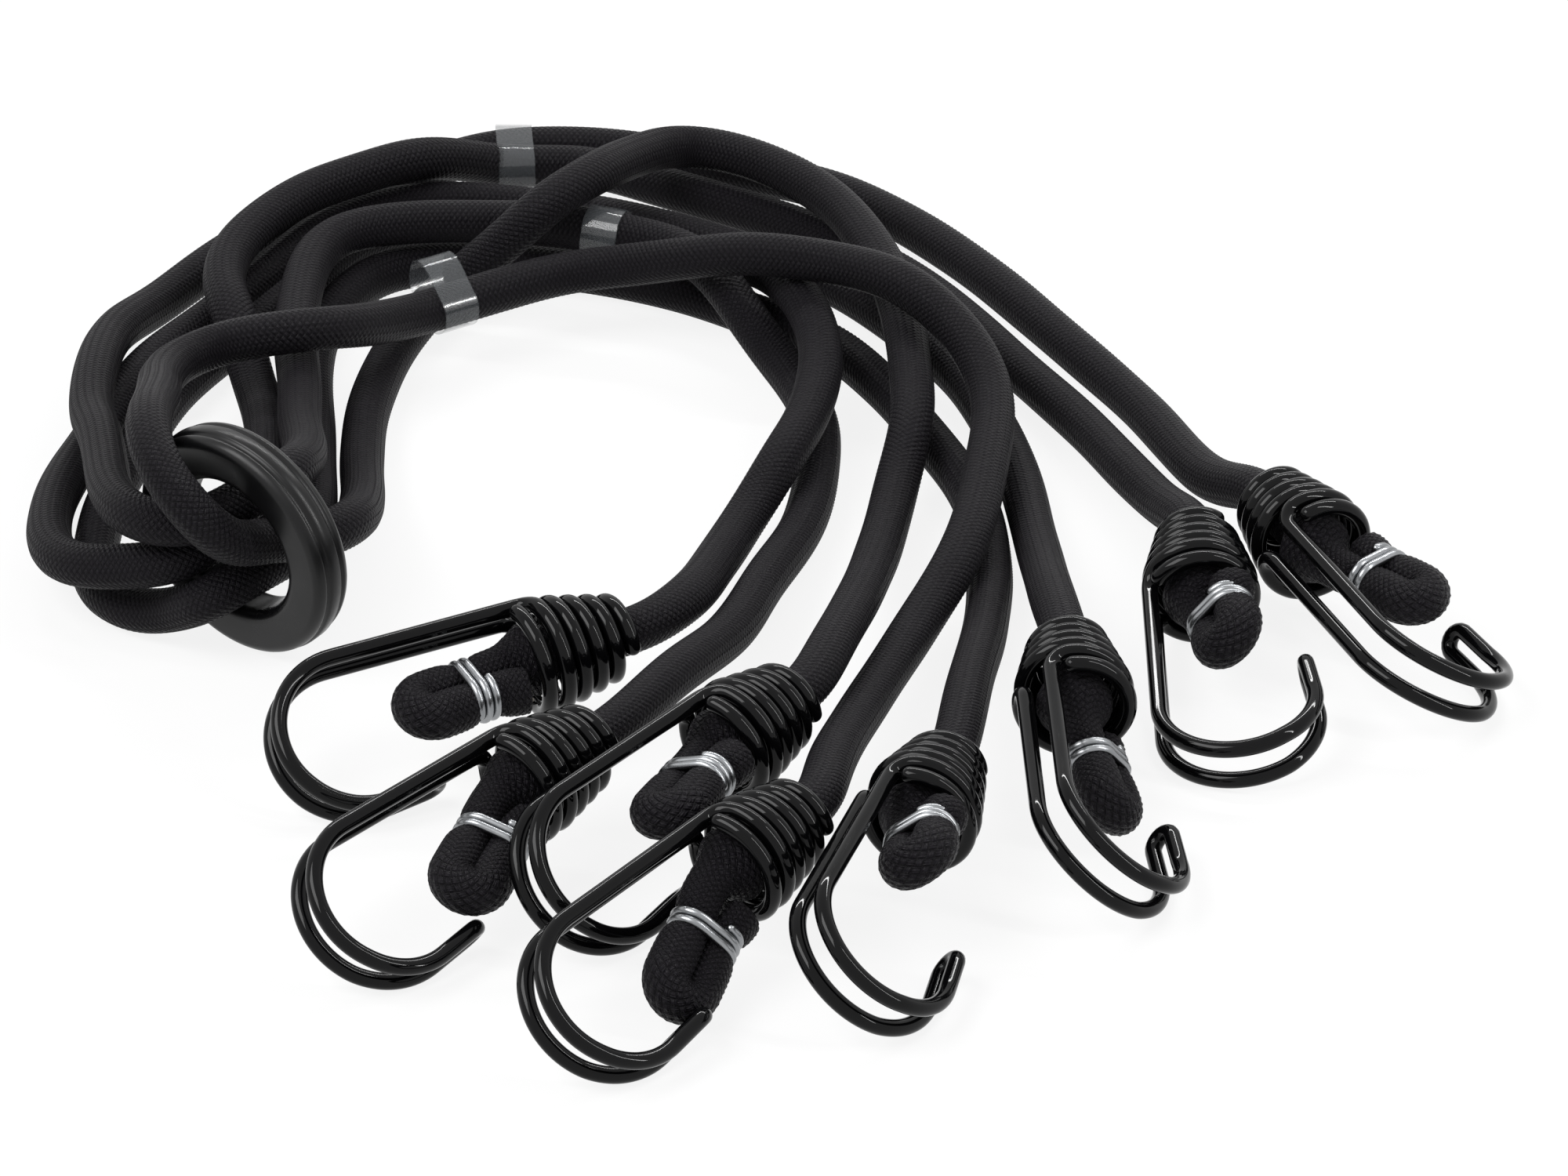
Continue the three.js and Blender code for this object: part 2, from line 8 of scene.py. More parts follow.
import bpy
import numpy as np
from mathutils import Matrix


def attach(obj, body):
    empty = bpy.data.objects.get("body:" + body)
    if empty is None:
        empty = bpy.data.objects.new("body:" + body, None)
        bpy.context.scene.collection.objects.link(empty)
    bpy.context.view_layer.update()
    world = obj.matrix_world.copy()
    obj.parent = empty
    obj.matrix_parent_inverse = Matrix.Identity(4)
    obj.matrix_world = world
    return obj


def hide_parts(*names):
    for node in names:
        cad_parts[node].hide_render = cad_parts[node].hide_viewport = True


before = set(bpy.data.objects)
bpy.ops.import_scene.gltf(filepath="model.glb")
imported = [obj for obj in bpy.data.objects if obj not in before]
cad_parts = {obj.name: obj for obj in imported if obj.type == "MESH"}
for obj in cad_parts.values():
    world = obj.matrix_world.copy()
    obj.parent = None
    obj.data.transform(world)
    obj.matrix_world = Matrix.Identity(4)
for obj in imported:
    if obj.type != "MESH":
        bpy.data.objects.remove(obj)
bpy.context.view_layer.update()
MM = 0.001
STANDING = np.array([3.12, -0.25, 0.06])


def to_scene(points):
    """Millimetres in the maker's layout to metres in the model's frame."""
    return (np.asarray(points, float) + STANDING) * MM


# %% [markdown]
# ## The camera
# The photograph looks down by 30 degrees from far off through a long lens, so that near and
# far strands have almost one size. The lens is worked out from a focal length in pixels.

# %% Camera
FRAME_WIDTH = 2000
FOCAL_PIXELS = 10455
SENSOR = 36.0
LOOK_DOWN = 30.0
CAMERA_PLACE = (-11.0, -1473.2, 850.0)

camera_data = bpy.data.cameras.new("camera")
camera_data.sensor_fit = "HORIZONTAL"
camera_data.sensor_width = SENSOR
camera_data.lens = SENSOR * FOCAL_PIXELS / FRAME_WIDTH
camera_data.clip_end = 20.0
camera = bpy.data.objects.new("camera", camera_data)
camera.location = to_scene(CAMERA_PLACE)
camera.rotation_euler = (np.radians(90 - LOOK_DOWN), 0, 0)
bpy.context.scene.collection.objects.link(camera)
bpy.context.scene.camera = camera
print("lens", round(camera_data.lens, 1), "mm")

# %% [markdown]
# ## Sizes and places
# The real cord is a round braid about 9.5 mm thick, and each hook is bent from wire of 3.4 mm.
# The hooks lie where the bundle was put down, each with its own heading, pitch and roll. Each
# folded end leans to one side by so many degrees, is rolled about the arm's axis by so many
# more, and has its own share of the full length.

# %% Sizes of the cord, the hooks, the clamps and the ring
CORD_RADIUS = 4.75
FOLD_RADIUS = 3.5
FOLD_HALF_GAP = 0.2
FOLD_REACH = 32.0
LEAD_IN = 9.85
LEAN_RADIUS = 14.0
CUT_SETBACK = 3.4
FLARE_ANGLE = 16.0
FLARE_LENGTH = 5.0
END_GAP = 0.3
CORE_RADIUS = 2.7

WIRE_RADIUS = 1.7
WIRE_SPACING = 7.8
TIP_SPACING = 5.4
LEG_LENGTH = 38.7
BEND_RADIUS = 15.7
BEND_OVER = 7.0
NARROW_FROM = 2 / 3
TIP_LENGTH = 11.0
SHOULDER_RADIUS = 4.5
SHOULDER_STAGGER = 1.0
MOUTH_RADIUS = 10.7
COIL_END_RADIUS = 6.9
COIL_PITCH = 3.9
COIL_TURNS = 4.25

CLAMP_WIRE_RADIUS = 0.9
CLAMP_PITCH = 1.9
CLAMP_TURNS = 2.2
CLAMP_PLACE = 0.45
CLAMP_SQUEEZE = 1.1
CLAMP_BITE = 0.15

RING_CENTRE = (-120.8, -24.4, 25.4)
RING_HEADING = 51.0
RING_PITCH = 5.5

HOOKS = {
    "a": {"mouth": (-63.2, -62.8, 18.9), "turn": (-154.9, -2.3, -38.4), "fold": (6, 31, 0.92)},
    "b": {"mouth": (-64, -113.3, 19.7), "turn": (-134.5, -3.6, -38.3), "fold": (25, 20, 0.97)},
    "c": {"mouth": (-24.3, -102.6, 22.3), "turn": (-131.4, -4, -45.9), "fold": (19, 65, 1.0)},
    "d": {"mouth": (-22, -145, 21.2), "turn": (-130.9, -5.1, -39.8), "fold": (26, -13, 0.97)},
    "e": {"mouth": (14.1, -123.5, 18.4), "turn": (-107.9, -1, -39.9), "fold": (16, 76, 0.79)},
    "f": {"mouth": (46.5, -83.2, 19.8), "turn": (-87.6, -2.8, -40.6), "fold": (24, -16, 0.84)},
    "g": {"mouth": (73.9, -28.2, 12.4), "turn": (-89.4, -7, 8.8), "fold": (12, 40, 0.75)},
    "h": {"mouth": (98.6, -15, 16.4), "turn": (-66, -3.2, -27.4), "fold": (22, 27, 0.9)},
}

# %% [markdown]
# ## Frames for the arms and the ring
# Every hook is shaped once, in its own axes: x runs from the coil's mouth to the bend, y
# towards the side that the hook opens to, and z across its two wires. A heading, a pitch and a
# roll then place it. A matrix of three unit vectors does this for whole arrays at once.


# %% Placing a shape by heading, pitch and roll
def axes_of(heading, pitch, roll):
    """Rows x, y, z of a frame: x by heading and pitch, y and z turned about it by the roll."""
    heading, pitch, roll = np.radians([heading, pitch, roll])
    along = np.array(
        [np.cos(heading) * np.cos(pitch), np.sin(heading) * np.cos(pitch), np.sin(pitch)]
    )
    side = np.array([-np.sin(heading), np.cos(heading), 0.0])
    up = np.cross(along, side)
    across = side * np.cos(roll) + up * np.sin(roll)
    return np.array([along, across, np.cross(along, across)])


def place(points, origin, axes):
    """Points in a shape's own axes, moved to the layout."""
    return np.asarray(origin, float) + np.asarray(points, float) @ axes


ring_axes = axes_of(RING_HEADING, RING_PITCH, 0.0)
hook_axes = {key: axes_of(*hook["turn"]) for key, hook in HOOKS.items()}


def on_arm(points, key):
    """Points in the axes of one arm's hook, moved to the layout."""
    return place(points, HOOKS[key]["mouth"], hook_axes[key])


print("arms:", ", ".join(HOOKS))

# %% [markdown]
# ## Turning grids of points into meshes
# Cords, wires and bands are all one profile carried along a path. Such a surface is a grid:
# one row of points for each station and one column for each place round the profile. The
# faces follow from the grid's numbering, so no loop over points is needed, and the same
# numbering gives a UV map with the turn round the profile in u and millimetres along in v.


# %% Points and faces become a piece of the part
def add_piece(name, points, faces, material, body, smooth=True):
    """A mesh from points in millimetres and faces, on its body and in its slot."""
    mesh = bpy.data.meshes.new(name)
    mesh.from_pydata(to_scene(points).tolist(), [], faces)
    mesh.polygons.foreach_set("use_smooth", np.full(len(faces), smooth))
    mesh.materials.append(material)
    piece = bpy.data.objects.new(name, mesh)
    bpy.context.scene.collection.objects.link(piece)
    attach(piece, body)
    return piece


def wrapped_quads(rows, columns):
    """Quads of a grid of points that closes both ways, as on a ring."""
    row, column = np.meshgrid(np.arange(rows), np.arange(columns), indexing="ij")
    next_row, next_column = (row + 1) % rows, (column + 1) % columns
    corners = [(row, column), (next_row, column), (next_row, next_column), (row, next_column)]
    return np.stack([a * columns + b for a, b in corners], axis=-1).reshape(-1, 4)


def tube_quads(rows, columns):
    """Quads of a grid that closes only round the tube, their corners the other way round."""
    return wrapped_quads(rows, columns)[: (rows - 1) * columns, [0, 3, 2, 1]]


# %% A grid of points becomes a closed tube with a UV map
def skin_grid(name, grid, along, material, body):
    """Mesh of a tube: quads between rows, and a fan of triangles closing each end.

    grid is rows by columns by xyz in millimetres, and along is each row's distance in mm.
    """
    rows, columns = grid.shape[:2]
    column = np.arange(columns)
    u_low, u_high, v_low, v_high = (
        np.broadcast_to(value, (rows - 1, columns))
        for value in (column / columns, (column + 1) / columns, along[:-1, None], along[1:, None])
    )
    quad_uv = np.stack([u_low, v_low, u_high, v_low, u_high, v_high, u_low, v_high], axis=-1)

    first, last = rows * columns, rows * columns + 1
    after = (column + 1) % columns
    start_fan = np.stack([after, column, np.full(columns, first)], axis=-1)
    top = (rows - 1) * columns
    end_fan = np.stack([top + column, top + after, np.full(columns, last)], axis=-1)
    fan_uv = np.zeros((columns, 6))
    fan_uv[:, 0::2] = (column / columns)[:, None]
    start_uv, end_uv = fan_uv.copy(), fan_uv.copy()
    start_uv[:, 1::2], end_uv[:, 1::2] = along[0], along[-1]

    points = np.vstack([grid.reshape(-1, 3), grid[0].mean(0), grid[-1].mean(0)])
    faces = tube_quads(rows, columns).tolist() + start_fan.tolist() + end_fan.tolist()
    piece = add_piece(name, points, faces, material, body)
    uv = np.concatenate([quad_uv.ravel(), start_uv.ravel(), end_uv.ravel()])
    piece.data.uv_layers.new(name="along_and_round").data.foreach_set("uv", uv)
    return piece


# %% [markdown]
# A section has to be carried along its path without twisting, or the braid would wander. Each
# station keeps the direction of the one before it, less the part that points along the path.


# %% Carry a section along a path
def unit(vectors):
    """Vectors divided by their lengths."""
    return vectors / np.linalg.norm(vectors, axis=-1, keepdims=True)


def distance_along(path):
    """Distance from the first station to each one."""
    return np.concatenate([[0], np.cumsum(np.linalg.norm(np.diff(path, axis=0), axis=1))])


def resample(path, step):
    """The same line with stations a fixed step apart."""
    travelled = distance_along(path)
    count = max(int(round(travelled[-1] / step)), 2)
    wanted = np.linspace(0, travelled[-1], count + 1)
    return np.stack([np.interp(wanted, travelled, path[:, k]) for k in range(3)], axis=1)


def round_turn(count):
    """Angles spaced evenly round a full turn."""
    return 2 * np.pi * np.arange(count) / count


def spokes(path, count, facing=(0, 0, 1)):
    """Directions that stand round the path at each station, carried on with no twist."""
    tangents = unit(np.gradient(path, axis=0))
    across = np.empty_like(path)
    direction = np.array(facing, float)
    for station, tangent in enumerate(tangents):
        direction = unit(direction - direction.dot(tangent) * tangent)
        across[station] = direction
    second, angle = np.cross(tangents, across), round_turn(count)[:, None]
    return np.cos(angle) * across[:, None] + np.sin(angle) * second[:, None]


def sweep(path, reach, facing=(0, 0, 1)):
    """Section points: out from each station by its own reach in every direction."""
    return path[:, None] + reach[:, :, None] * spokes(path, reach.shape[1], facing)


def domed(path, radius, sides, steps=5, least=0.03):
    """A wire's path and radii with a quarter circle of extra stations at both ends."""
    phase = np.linspace(0, np.pi / 2, steps + 1)[1:]
    head, tail = unit(path[0] - path[1]), unit(path[-1] - path[-2])
    start = path[0] + radius * np.sin(phase[::-1, None]) * head
    stop = path[-1] + radius * np.sin(phase[:, None]) * tail
    shrink = radius * np.maximum(np.cos(phase), least)
    radii = np.concatenate([shrink[::-1], np.full(len(path), radius), shrink])
    return np.vstack([start, path, stop]), np.repeat(radii[:, None], sides, axis=1)


# %% [markdown]
# ## Colour and nodes
# Colours are written as the sRGB hex values that a picture shows. Blender works in linear
# light, so one function turns them. One more small function adds a node, sets it and links it.


# %% Colour and node helpers
def colour(hex_value):
    """sRGB hex to linear RGBA: divide by 12.92 near black, else raise to the power 2.4."""
    channel = np.array([int(hex_value[i : i + 2], 16) for i in (1, 3, 5)]) / 255
    linear = np.where(channel <= 0.04045, channel / 12.92, ((channel + 0.055) / 1.055) ** 2.4)
    return (*linear.tolist(), 1.0)


def add_node(tree, kind, inputs=None, **settings):
    """A node of that kind, with its settings, and values or other nodes on its inputs."""
    new = tree.nodes.new("ShaderNode" + kind)
    for name, value in settings.items():
        setattr(new, name, value)
    for socket_name, value in (inputs or {}).items():
        socket = new.inputs[socket_name]
        if isinstance(value, bpy.types.Node):
            value = value.outputs[0]
        if isinstance(value, bpy.types.NodeSocket):
            tree.links.new(value, socket)
        else:
            socket.default_value = value
    return new


def new_material(name):
    """An empty material and its node tree."""
    material = bpy.data.materials.new(name)
    material.use_nodes = True
    material.node_tree.nodes.clear()
    return material, material.node_tree


# %% [markdown]
# ## Braided polyester sheath
# The cord's cover is plaited from many carriers of fine polyester yarn that cross each other
# on a slant, one over, one under. The eye sees small slanting pillows, fine filaments on each
# and a soft dull sheen. Crossing families of yarn are two slanted coordinates on the UV map:
# turns round plus distance along, and turns round less distance along. Whole numbers of both
# mark the cells, and whether their sum is odd or even says which yarn is on top.

# %% Sheath material
CARRIERS = 16
BRAID_PITCH = 1.3
FILAMENTS = 3
ROWS_PER_PILLOW = 2
COLUMNS_PER_PILLOW = 3
PILLOW_HEIGHT = 0.16
ROW_STEP = BRAID_PITCH / ROWS_PER_PILLOW


def braided_sheath(name, dark, light, carriers, pitch, relief):
    """Polyester braid: slanted cells, filaments on the upper yarn, painted shade in the valleys."""
    material, tree = new_material(name)
    uv = add_node(tree, "UVMap", uv_map="along_and_round")
    split = add_node(tree, "SeparateXYZ", {"Vector": uv})
    around, along = (
        add_node(tree, "Math", {0: split.outputs[axis], 1: scale}, operation="MULTIPLY")
        for axis, scale in (("X", float(carriers)), ("Y", 1 / pitch))
    )
    leaning = [
        add_node(tree, "Math", {0: around, 1: along}, operation=operation)
        for operation in ("ADD", "SUBTRACT")
    ]
    cells = [add_node(tree, "Math", {0: value}, operation="FLOOR") for value in leaning]
    total = add_node(tree, "Math", {0: cells[0], 1: cells[1]}, operation="ADD")
    over = add_node(tree, "Math", {0: total, 1: 2.0}, operation="FLOORED_MODULO")

    pillows, filaments = [], []
    for value in leaning:
        wave = add_node(tree, "Math", {0: value, 1: np.pi}, operation="MULTIPLY")
        hump = add_node(tree, "Math", {0: wave}, operation="SINE")
        pillows.append(add_node(tree, "Math", {0: hump}, operation="ABSOLUTE"))
        fine = add_node(tree, "Math", {0: wave, 1: 2.0 * FILAMENTS}, operation="MULTIPLY")
        filaments.append(add_node(tree, "Math", {0: fine}, operation="SINE"))
    pillow = add_node(tree, "Math", {0: pillows[0], 1: pillows[1]}, operation="MULTIPLY")
    upper = {"Factor": over, 2: filaments[0], 3: filaments[1]}
    strand = add_node(tree, "Mix", upper, data_type="FLOAT")
    height = add_node(tree, "Math", {0: strand, 1: 0.16, 2: pillow}, operation="MULTIPLY_ADD")

    position = add_node(tree, "TexCoord")
    fade = add_node(
        tree,
        "TexNoise",
        {"Vector": position.outputs["Object"], "Scale": 90.0, "Detail": 3.0, "Roughness": 0.6},
    )
    fibres = add_node(
        tree, "TexNoise", {"Vector": position.outputs["Object"], "Scale": 1400.0, "Detail": 2.0}
    )
    woolly = add_node(tree, "Math", {0: fibres, 1: 0.7, 2: height}, operation="MULTIPLY_ADD")
    # Painted shade: the colour darkens from the pillow tops down into the valleys between them.
    painted_valley_shade = add_node(
        tree, "MapRange", {"Value": height, "From Min": 0.1, "From Max": 0.8, "To Max": 0.85}
    )
    # Slow random wear plus the painted valley shade choose between the dark and the light colour.
    wear_and_painted_shade = add_node(
        tree, "Math", {0: fade, 1: 0.5, 2: painted_valley_shade}, operation="MULTIPLY_ADD", use_clamp=True
    )
    shade = add_node(
        tree, "Mix", {"Factor": wear_and_painted_shade, 6: colour(dark), 7: colour(light)}, data_type="RGBA"
    )
    bump = add_node(tree, "Bump", {"Height": woolly, "Strength": relief, "Distance": 0.00035})
    shader = add_node(
        tree,
        "BsdfPrincipled",
        {
            "Base Color": shade.outputs[2],
            "Roughness": 0.42,
            "IOR": 1.5,
            "Specular IOR Level": 0.08,
            "Sheen Weight": 0.02,
            "Sheen Roughness": 0.3,
            "Normal": bump,
        },
    )
    add_node(tree, "OutputMaterial", {"Surface": shader})
    return material


# The darker colour is the painted shade in the braid's valleys, the lighter one the pillow tops.
sheath = braided_sheath(
    "woven_polyester_sheath", "#060507", "#171519", CARRIERS, BRAID_PITCH, 0.8
)

# %% [markdown]
# ## The cords' routes
# An elastic cord has no wire in it to hold a shape, so it lies in big easy loops, on the ground
# or over the strands below it. Each route is a list of places, given in millimetres, from one
# hook to the other through the ring. A smooth curve passes through all of them. It is
# a centripetal Catmull-Rom curve, which has no loops or overshoots between uneven points.

# %% Places on each cord
CORD_ROUTES = {
    "cord_1": {
        "ends": ("d", "c"),
        "before": [
            (-1.5, -103, 20.5), (5, -73, 14.5), (16, -37, 12), (26, -11, 15.5), (31, 19.5, 16.5),
            (33, 51.5, 17.5), (28, 67, 22), (14, 84, 27), (-2, 95, 26), (-20, 99, 26),
            (-33, 103, 22.5), (-45, 109.5, 17.5), (-58, 110, 15.5), (-70, 103.5, 15.5),
            (-80, 97, 15.5), (-90, 90.5, 15.5), (-98, 80, 19), (-104, 70, 23.5),
            (-112, 64, 26), (-120, 62, 26), (-130, 64, 23), (-139, 57, 22.5), (-142, 42, 26),
            (-141, 23, 33), (-140.2, 4, 41), (-140, -14.5, 47.5), (-139, -26.5, 48),
            (-135.5, -34, 45), (-132, -38.5, 42), (-128, -39.5, 37.5),
        ],
        "through": [(-6.5, 6, -10), (-6.5, 1.5, 1), (-10, -3, 12)],
        "after": [
            (-100, -15, 23.3), (-98.6, 10.5, 14), (-100.2, 40, 7), (-100, 67.5, 5), (-95, 95.5, 5),
            (-87, 114, 7), (-80, 116.5, 12.5), (-71, 119, 19.5), (-63, 123.5, 25.5), (-54, 135, 26),
            (-46, 153.5, 21), (-34, 171, 15.5), (-20, 166, 15.5), (-2, 147, 15.5), (9, 120, 15.5),
            (14, 95, 15.5), (16, 66, 15.5), (16, 42, 15.5), (13, 28.5, 9.5), (9.5, 2.5, 10),
            (5, -31, 17), (-0.5, -60, 23),
        ],
    },
    "cord_2": {
        "ends": ("h", "b"),
        "before": [
            (79, 26, 10.5), (65, 68.5, 5), (49, 99.5, 5), (32, 130.5, 5), (15, 154.5, 5),
            (0, 169, 5), (-20, 179, 5), (-34, 184.5, 5), (-48, 188.5, 5.5), (-65, 189, 6),
            (-78, 188, 5.5), (-93, 179, 5), (-107, 169.5, 5), (-119, 158.5, 5),
            (-128, 147.5, 5), (-137, 134.5, 5), (-148, 115.5, 5), (-156, 91.5, 10.5),
            (-158, 63, 15.5), (-157, 42, 17.5), (-154, 27, 21), (-151, 6, 24.5),
            (-148.5, -11, 28), (-142.5, -26, 31),
        ],
        "through": [(6, 6.5, -11), (2.5, 6.5, 1), (0, 8, 14)],
        "after": [
            (-110, 7, 27), (-112.5, 31.5, 20.5), (-114, 58, 16), (-116, 80, 15.5),
            (-116, 98, 15.5), (-114, 117, 15.5), (-109, 128, 15.5), (-101, 132, 15.5),
            (-91, 134, 15.5), (-77, 134, 15.5), (-60, 132, 16), (-50, 128, 16), (-40, 124, 16),
            (-31, 117, 16), (-26, 109, 15.5), (-20, 98.5, 12), (-14, 91, 6.5), (-8, 77.5, 5),
            (-4, 60.5, 5), (-4, 39.5, 5), (-7, 15.5, 5.5), (-15, -14.5, 9.5), (-22, -42.5, 13.5),
            (-33, -70, 20),
        ],
    },
    "cord_3": {
        "ends": ("f", "g"),
        "before": [
            (43.5, -36, 17.5), (41.5, 1, 8.5), (37, 46.5, 5), (27, 81.5, 5), (13, 106.5, 5),
            (-1, 125.5, 5), (-20, 138.5, 5), (-37, 149.5, 5), (-55, 157.5, 5), (-71, 161.5, 5),
            (-81, 163.5, 5), (-96, 162.5, 5), (-107, 156.5, 5), (-115.5, 147, 5),
            (-121.5, 136, 5), (-128.5, 122, 5), (-138, 105, 5), (-148, 88, 5),
            (-154, 71, 5), (-158, 53.5, 5), (-161.5, 36, 7), (-163.5, 13, 10.5), (-162, -7, 13),
            (-157, -17.5, 15), (-150, -21, 16.5), (-142.5, -24, 18.5),
        ],
        "through": [(9, -3, -11), (7.5, -2.5, 1), (8, -2, 14)],
        "after": [
            (-119, 25, 15), (-121.5, 57, 8), (-125, 76.5, 6), (-127.5, 84.5, 10),
            (-129.5, 90.5, 14.5), (-133, 104, 15.5), (-132, 120, 15.5), (-126, 135, 15.5),
            (-116, 149, 15.5),
            (-107, 156, 15.5), (-95, 164, 15.5), (-86, 171.5, 12), (-76, 178, 7),
            (-65, 179, 6.2), (-55, 179, 6.2), (-42, 173.5, 5), (-29, 165.5, 5), (-11, 153.5, 5),
            (6, 138.5, 5), (23, 116.5, 5), (40, 84.5, 5), (53, 59.5, 5), (62, 35, 7),
            (68, 17.5, 9.5),
        ],
    },
    "cord_4": {
        "ends": ("a", "e"),
        "before": [
            (-31, -38.5, 19), (-25, -11, 12), (-21, 6.5, 9), (-16, 19, 11), (-11, 28, 15.5),
            (-6, 45, 15.5), (-3, 69, 16), (-5.5, 90, 16.5), (-11.5, 105, 16.5), (-19, 117.5, 14),
            (-26, 130.5, 7), (-37, 136.5, 5), (-49, 143, 5), (-63, 147.5, 5), (-81, 151.5, 5),
            (-95, 151.5, 5), (-104.5, 145, 5), (-110.5, 135, 5), (-116.5, 122.5, 5),
            (-124.5, 107, 5), (-133.5, 92, 5), (-141, 77, 5), (-145.5, 62.5, 5),
            (-149.5, 43.5, 5), (-153, 26.5, 5), (-154, 9.5, 5), (-153.5, -6, 5),
            (-149.5, -14.5, 5), (-145, -18.5, 5), (-139.5, -21, 5.5), (-133.5, -25, 9.5),
        ],
        "through": [(0.5, -9, -11), (-1, -8.5, 1), (-1.4, -9.5, 15)],
        "after": [
            (-110, 34.5, 10), (-111.5, 60.5, 5), (-113, 81.5, 5), (-112.5, 99.5, 5),
            (-109.5, 112, 5), (-105.5, 122, 5), (-99.5, 130, 5), (-91, 133.5, 5),
            (-80, 134, 5), (-63, 132, 5), (-46, 127, 5), (-32, 120, 5),
            (-18, 110, 5), (-2, 97.5, 5), (9, 79.5, 5), (20, 53.5, 5), (29, 26.5, 5.2),
            (31.5, -0.5, 5.5), (30, -33.5, 9.5), (26, -67, 16),
        ],
    },
}


# %% [markdown]
# ## Smooth curves through the places
# Each stretch between two places is a cubic. Its slopes at the ends come from the neighbours,
# weighed by the square root of the distances, and all stretches are worked out in one array.


# %% Route of a cord
def smooth_route(points, per_stretch=24):
    """Centripetal Catmull-Rom curve: cubics whose end slopes weigh the neighbours' spacing."""
    points = np.asarray(points, float)
    padded = np.vstack([2 * points[0] - points[1], points, 2 * points[-1] - points[-2]])
    before, start, stop, after = padded[:-3], padded[1:-2], padded[2:-1], padded[3:]

    def knot(a, b):
        return np.maximum(np.linalg.norm(b - a, axis=1), 1e-6)[:, None] ** 0.5

    k0, k1, k2 = knot(before, start), knot(start, stop), knot(stop, after)
    slope_1 = (start - before) / k0 - (stop - before) / (k0 + k1) + (stop - start) / k1
    slope_2 = (stop - start) / k1 - (after - start) / (k1 + k2) + (after - stop) / k2
    slope_1, slope_2 = slope_1 * k1, slope_2 * k1
    t = (np.arange(per_stretch) / per_stretch)[None, :, None]
    start, stop = start[:, None], stop[:, None]
    slope_1, slope_2 = slope_1[:, None], slope_2[:, None]
    curve = (
        start
        + slope_1 * t
        + (3 * (stop - start) - 2 * slope_1 - slope_2) * t**2
        + (2 * (start - stop) + slope_1 + slope_2) * t**3
    )
    return np.vstack([curve.reshape(-1, 3), points[-1:]])


def eased(path, reach):
    """The line averaged over a bell-shaped window, so that it bends evenly; the ends stay."""
    half = int(reach / ROW_STEP)
    window = np.hanning(2 * half + 1)
    start = 2 * path[0] - path[half:0:-1]
    stop = 2 * path[-1] - path[-2 : -half - 2 : -1]
    padded = np.vstack([start, path, stop])
    return np.stack(
        [np.convolve(padded[:, k], window / window.sum(), "valid") for k in range(3)], axis=1
    )


COIL_LENGTH = SHOULDER_RADIUS + COIL_PITCH * COIL_TURNS
LEAD_OUT = LEAD_IN + END_GAP
COIL_RUN = COIL_LENGTH + CORD_RADIUS


def inside_coil(key):
    """Three places on a coil's axis: clear of it, at its narrow end, and inside it."""
    return on_arm([[-COIL_RUN, 0, 0], [-COIL_LENGTH, 0, 0], [-LEAD_OUT, 0, 0]], key)


def inside_ring(passes):
    """Places in the ring's bore, from (across, up, along) to the layout."""
    across, up, along = np.asarray(passes, float).T
    return place(np.stack([along, across, up], axis=1), RING_CENTRE, ring_axes)


# %% [markdown]
# ## Braided cords
# The section is round, swells and thins by a fiftieth, and carries the braid's relief: the
# pillows of the material, cut into the mesh itself. Two rows and three columns to a pillow
# are the fewest that still show it. The relief counts rows, so that no pillow falls between two.


# %% Make the four cords
def braid_relief(along, carriers, pitch, columns):
    """Pillow height from 0 to 1: |sin| of both slanted coordinates, multiplied."""
    around = carriers * np.arange(columns) / columns
    lean = along[:, None] / pitch
    return np.abs(np.sin(np.pi * (around + lean)) * np.sin(np.pi * (around - lean)))


BEND_EASE = 14.0
SWELLS = ((0.012, 17, 0), (0.008, 5.3, 1))
PILLOW_MIDDLE = 0.4
for name, route in CORD_ROUTES.items():
    start, stop = (inside_coil(key) for key in route["ends"])
    through = inside_ring(route["through"])
    stations = np.vstack([start[::-1], route["before"], through, route["after"], stop])
    path = eased(resample(smooth_route(stations), ROW_STEP), BEND_EASE)
    along = ROW_STEP * np.arange(len(path))
    relief = braid_relief(along, CARRIERS, BRAID_PITCH, CARRIERS * COLUMNS_PER_PILLOW)
    swell = 1 + sum(size * np.sin(along / span + phase) for size, span, phase in SWELLS)
    reach = (CORD_RADIUS - PILLOW_HEIGHT / 2) * swell[:, None]
    reach = reach + PILLOW_HEIGHT * (relief - PILLOW_MIDDLE)
    grid = sweep(path, reach)
    piece = skin_grid(name + "_sheath", grid, along, sheath, "cords")
    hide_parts(name)

# %% [markdown]
# ## Folded ends
# Past the coil's mouth the end is doubled back on itself and clamped. The clamp squeezes both
# legs towards each other, they press flat together, and the braid swells on both sides of the
# clamp and most of all round the turn, and its bulk wedges in the coil's mouth. So the radius
# changes along the path, the section moves towards the other leg under the clamp, and on the
# side that faces it the section is cut flat.

# %% Path of a folded end
FOLD_CARRIERS = 16
FOLD_SWELL = 0.7
KNOB_SWELL = 0.35
CUT_SWELL = 0.9
CUT_REACH = 4.5
ROOT_SWELL = 4.0
ROOT_MIDDLE = 8.0
ROOT_REACH = 4.8
FOLD_PILLOW_HEIGHT = 0.24
SHEATH_LOOSE = 0.1
SWELL_FROM = 5.0
KNOB_FROM = 4.0
SWELL_EASE = 1.2
SQUEEZE_REACH = 2.2
FLAT_CLEARANCE = 0.04
PRESSED_FROM = -8.0


def arc(centre, radius, start, stop, steps):
    """Points on a flat arc, angles in radians."""
    angle = np.linspace(start, stop, steps)
    return np.asarray(centre) + radius * np.stack([np.cos(angle), np.sin(angle)], axis=1)


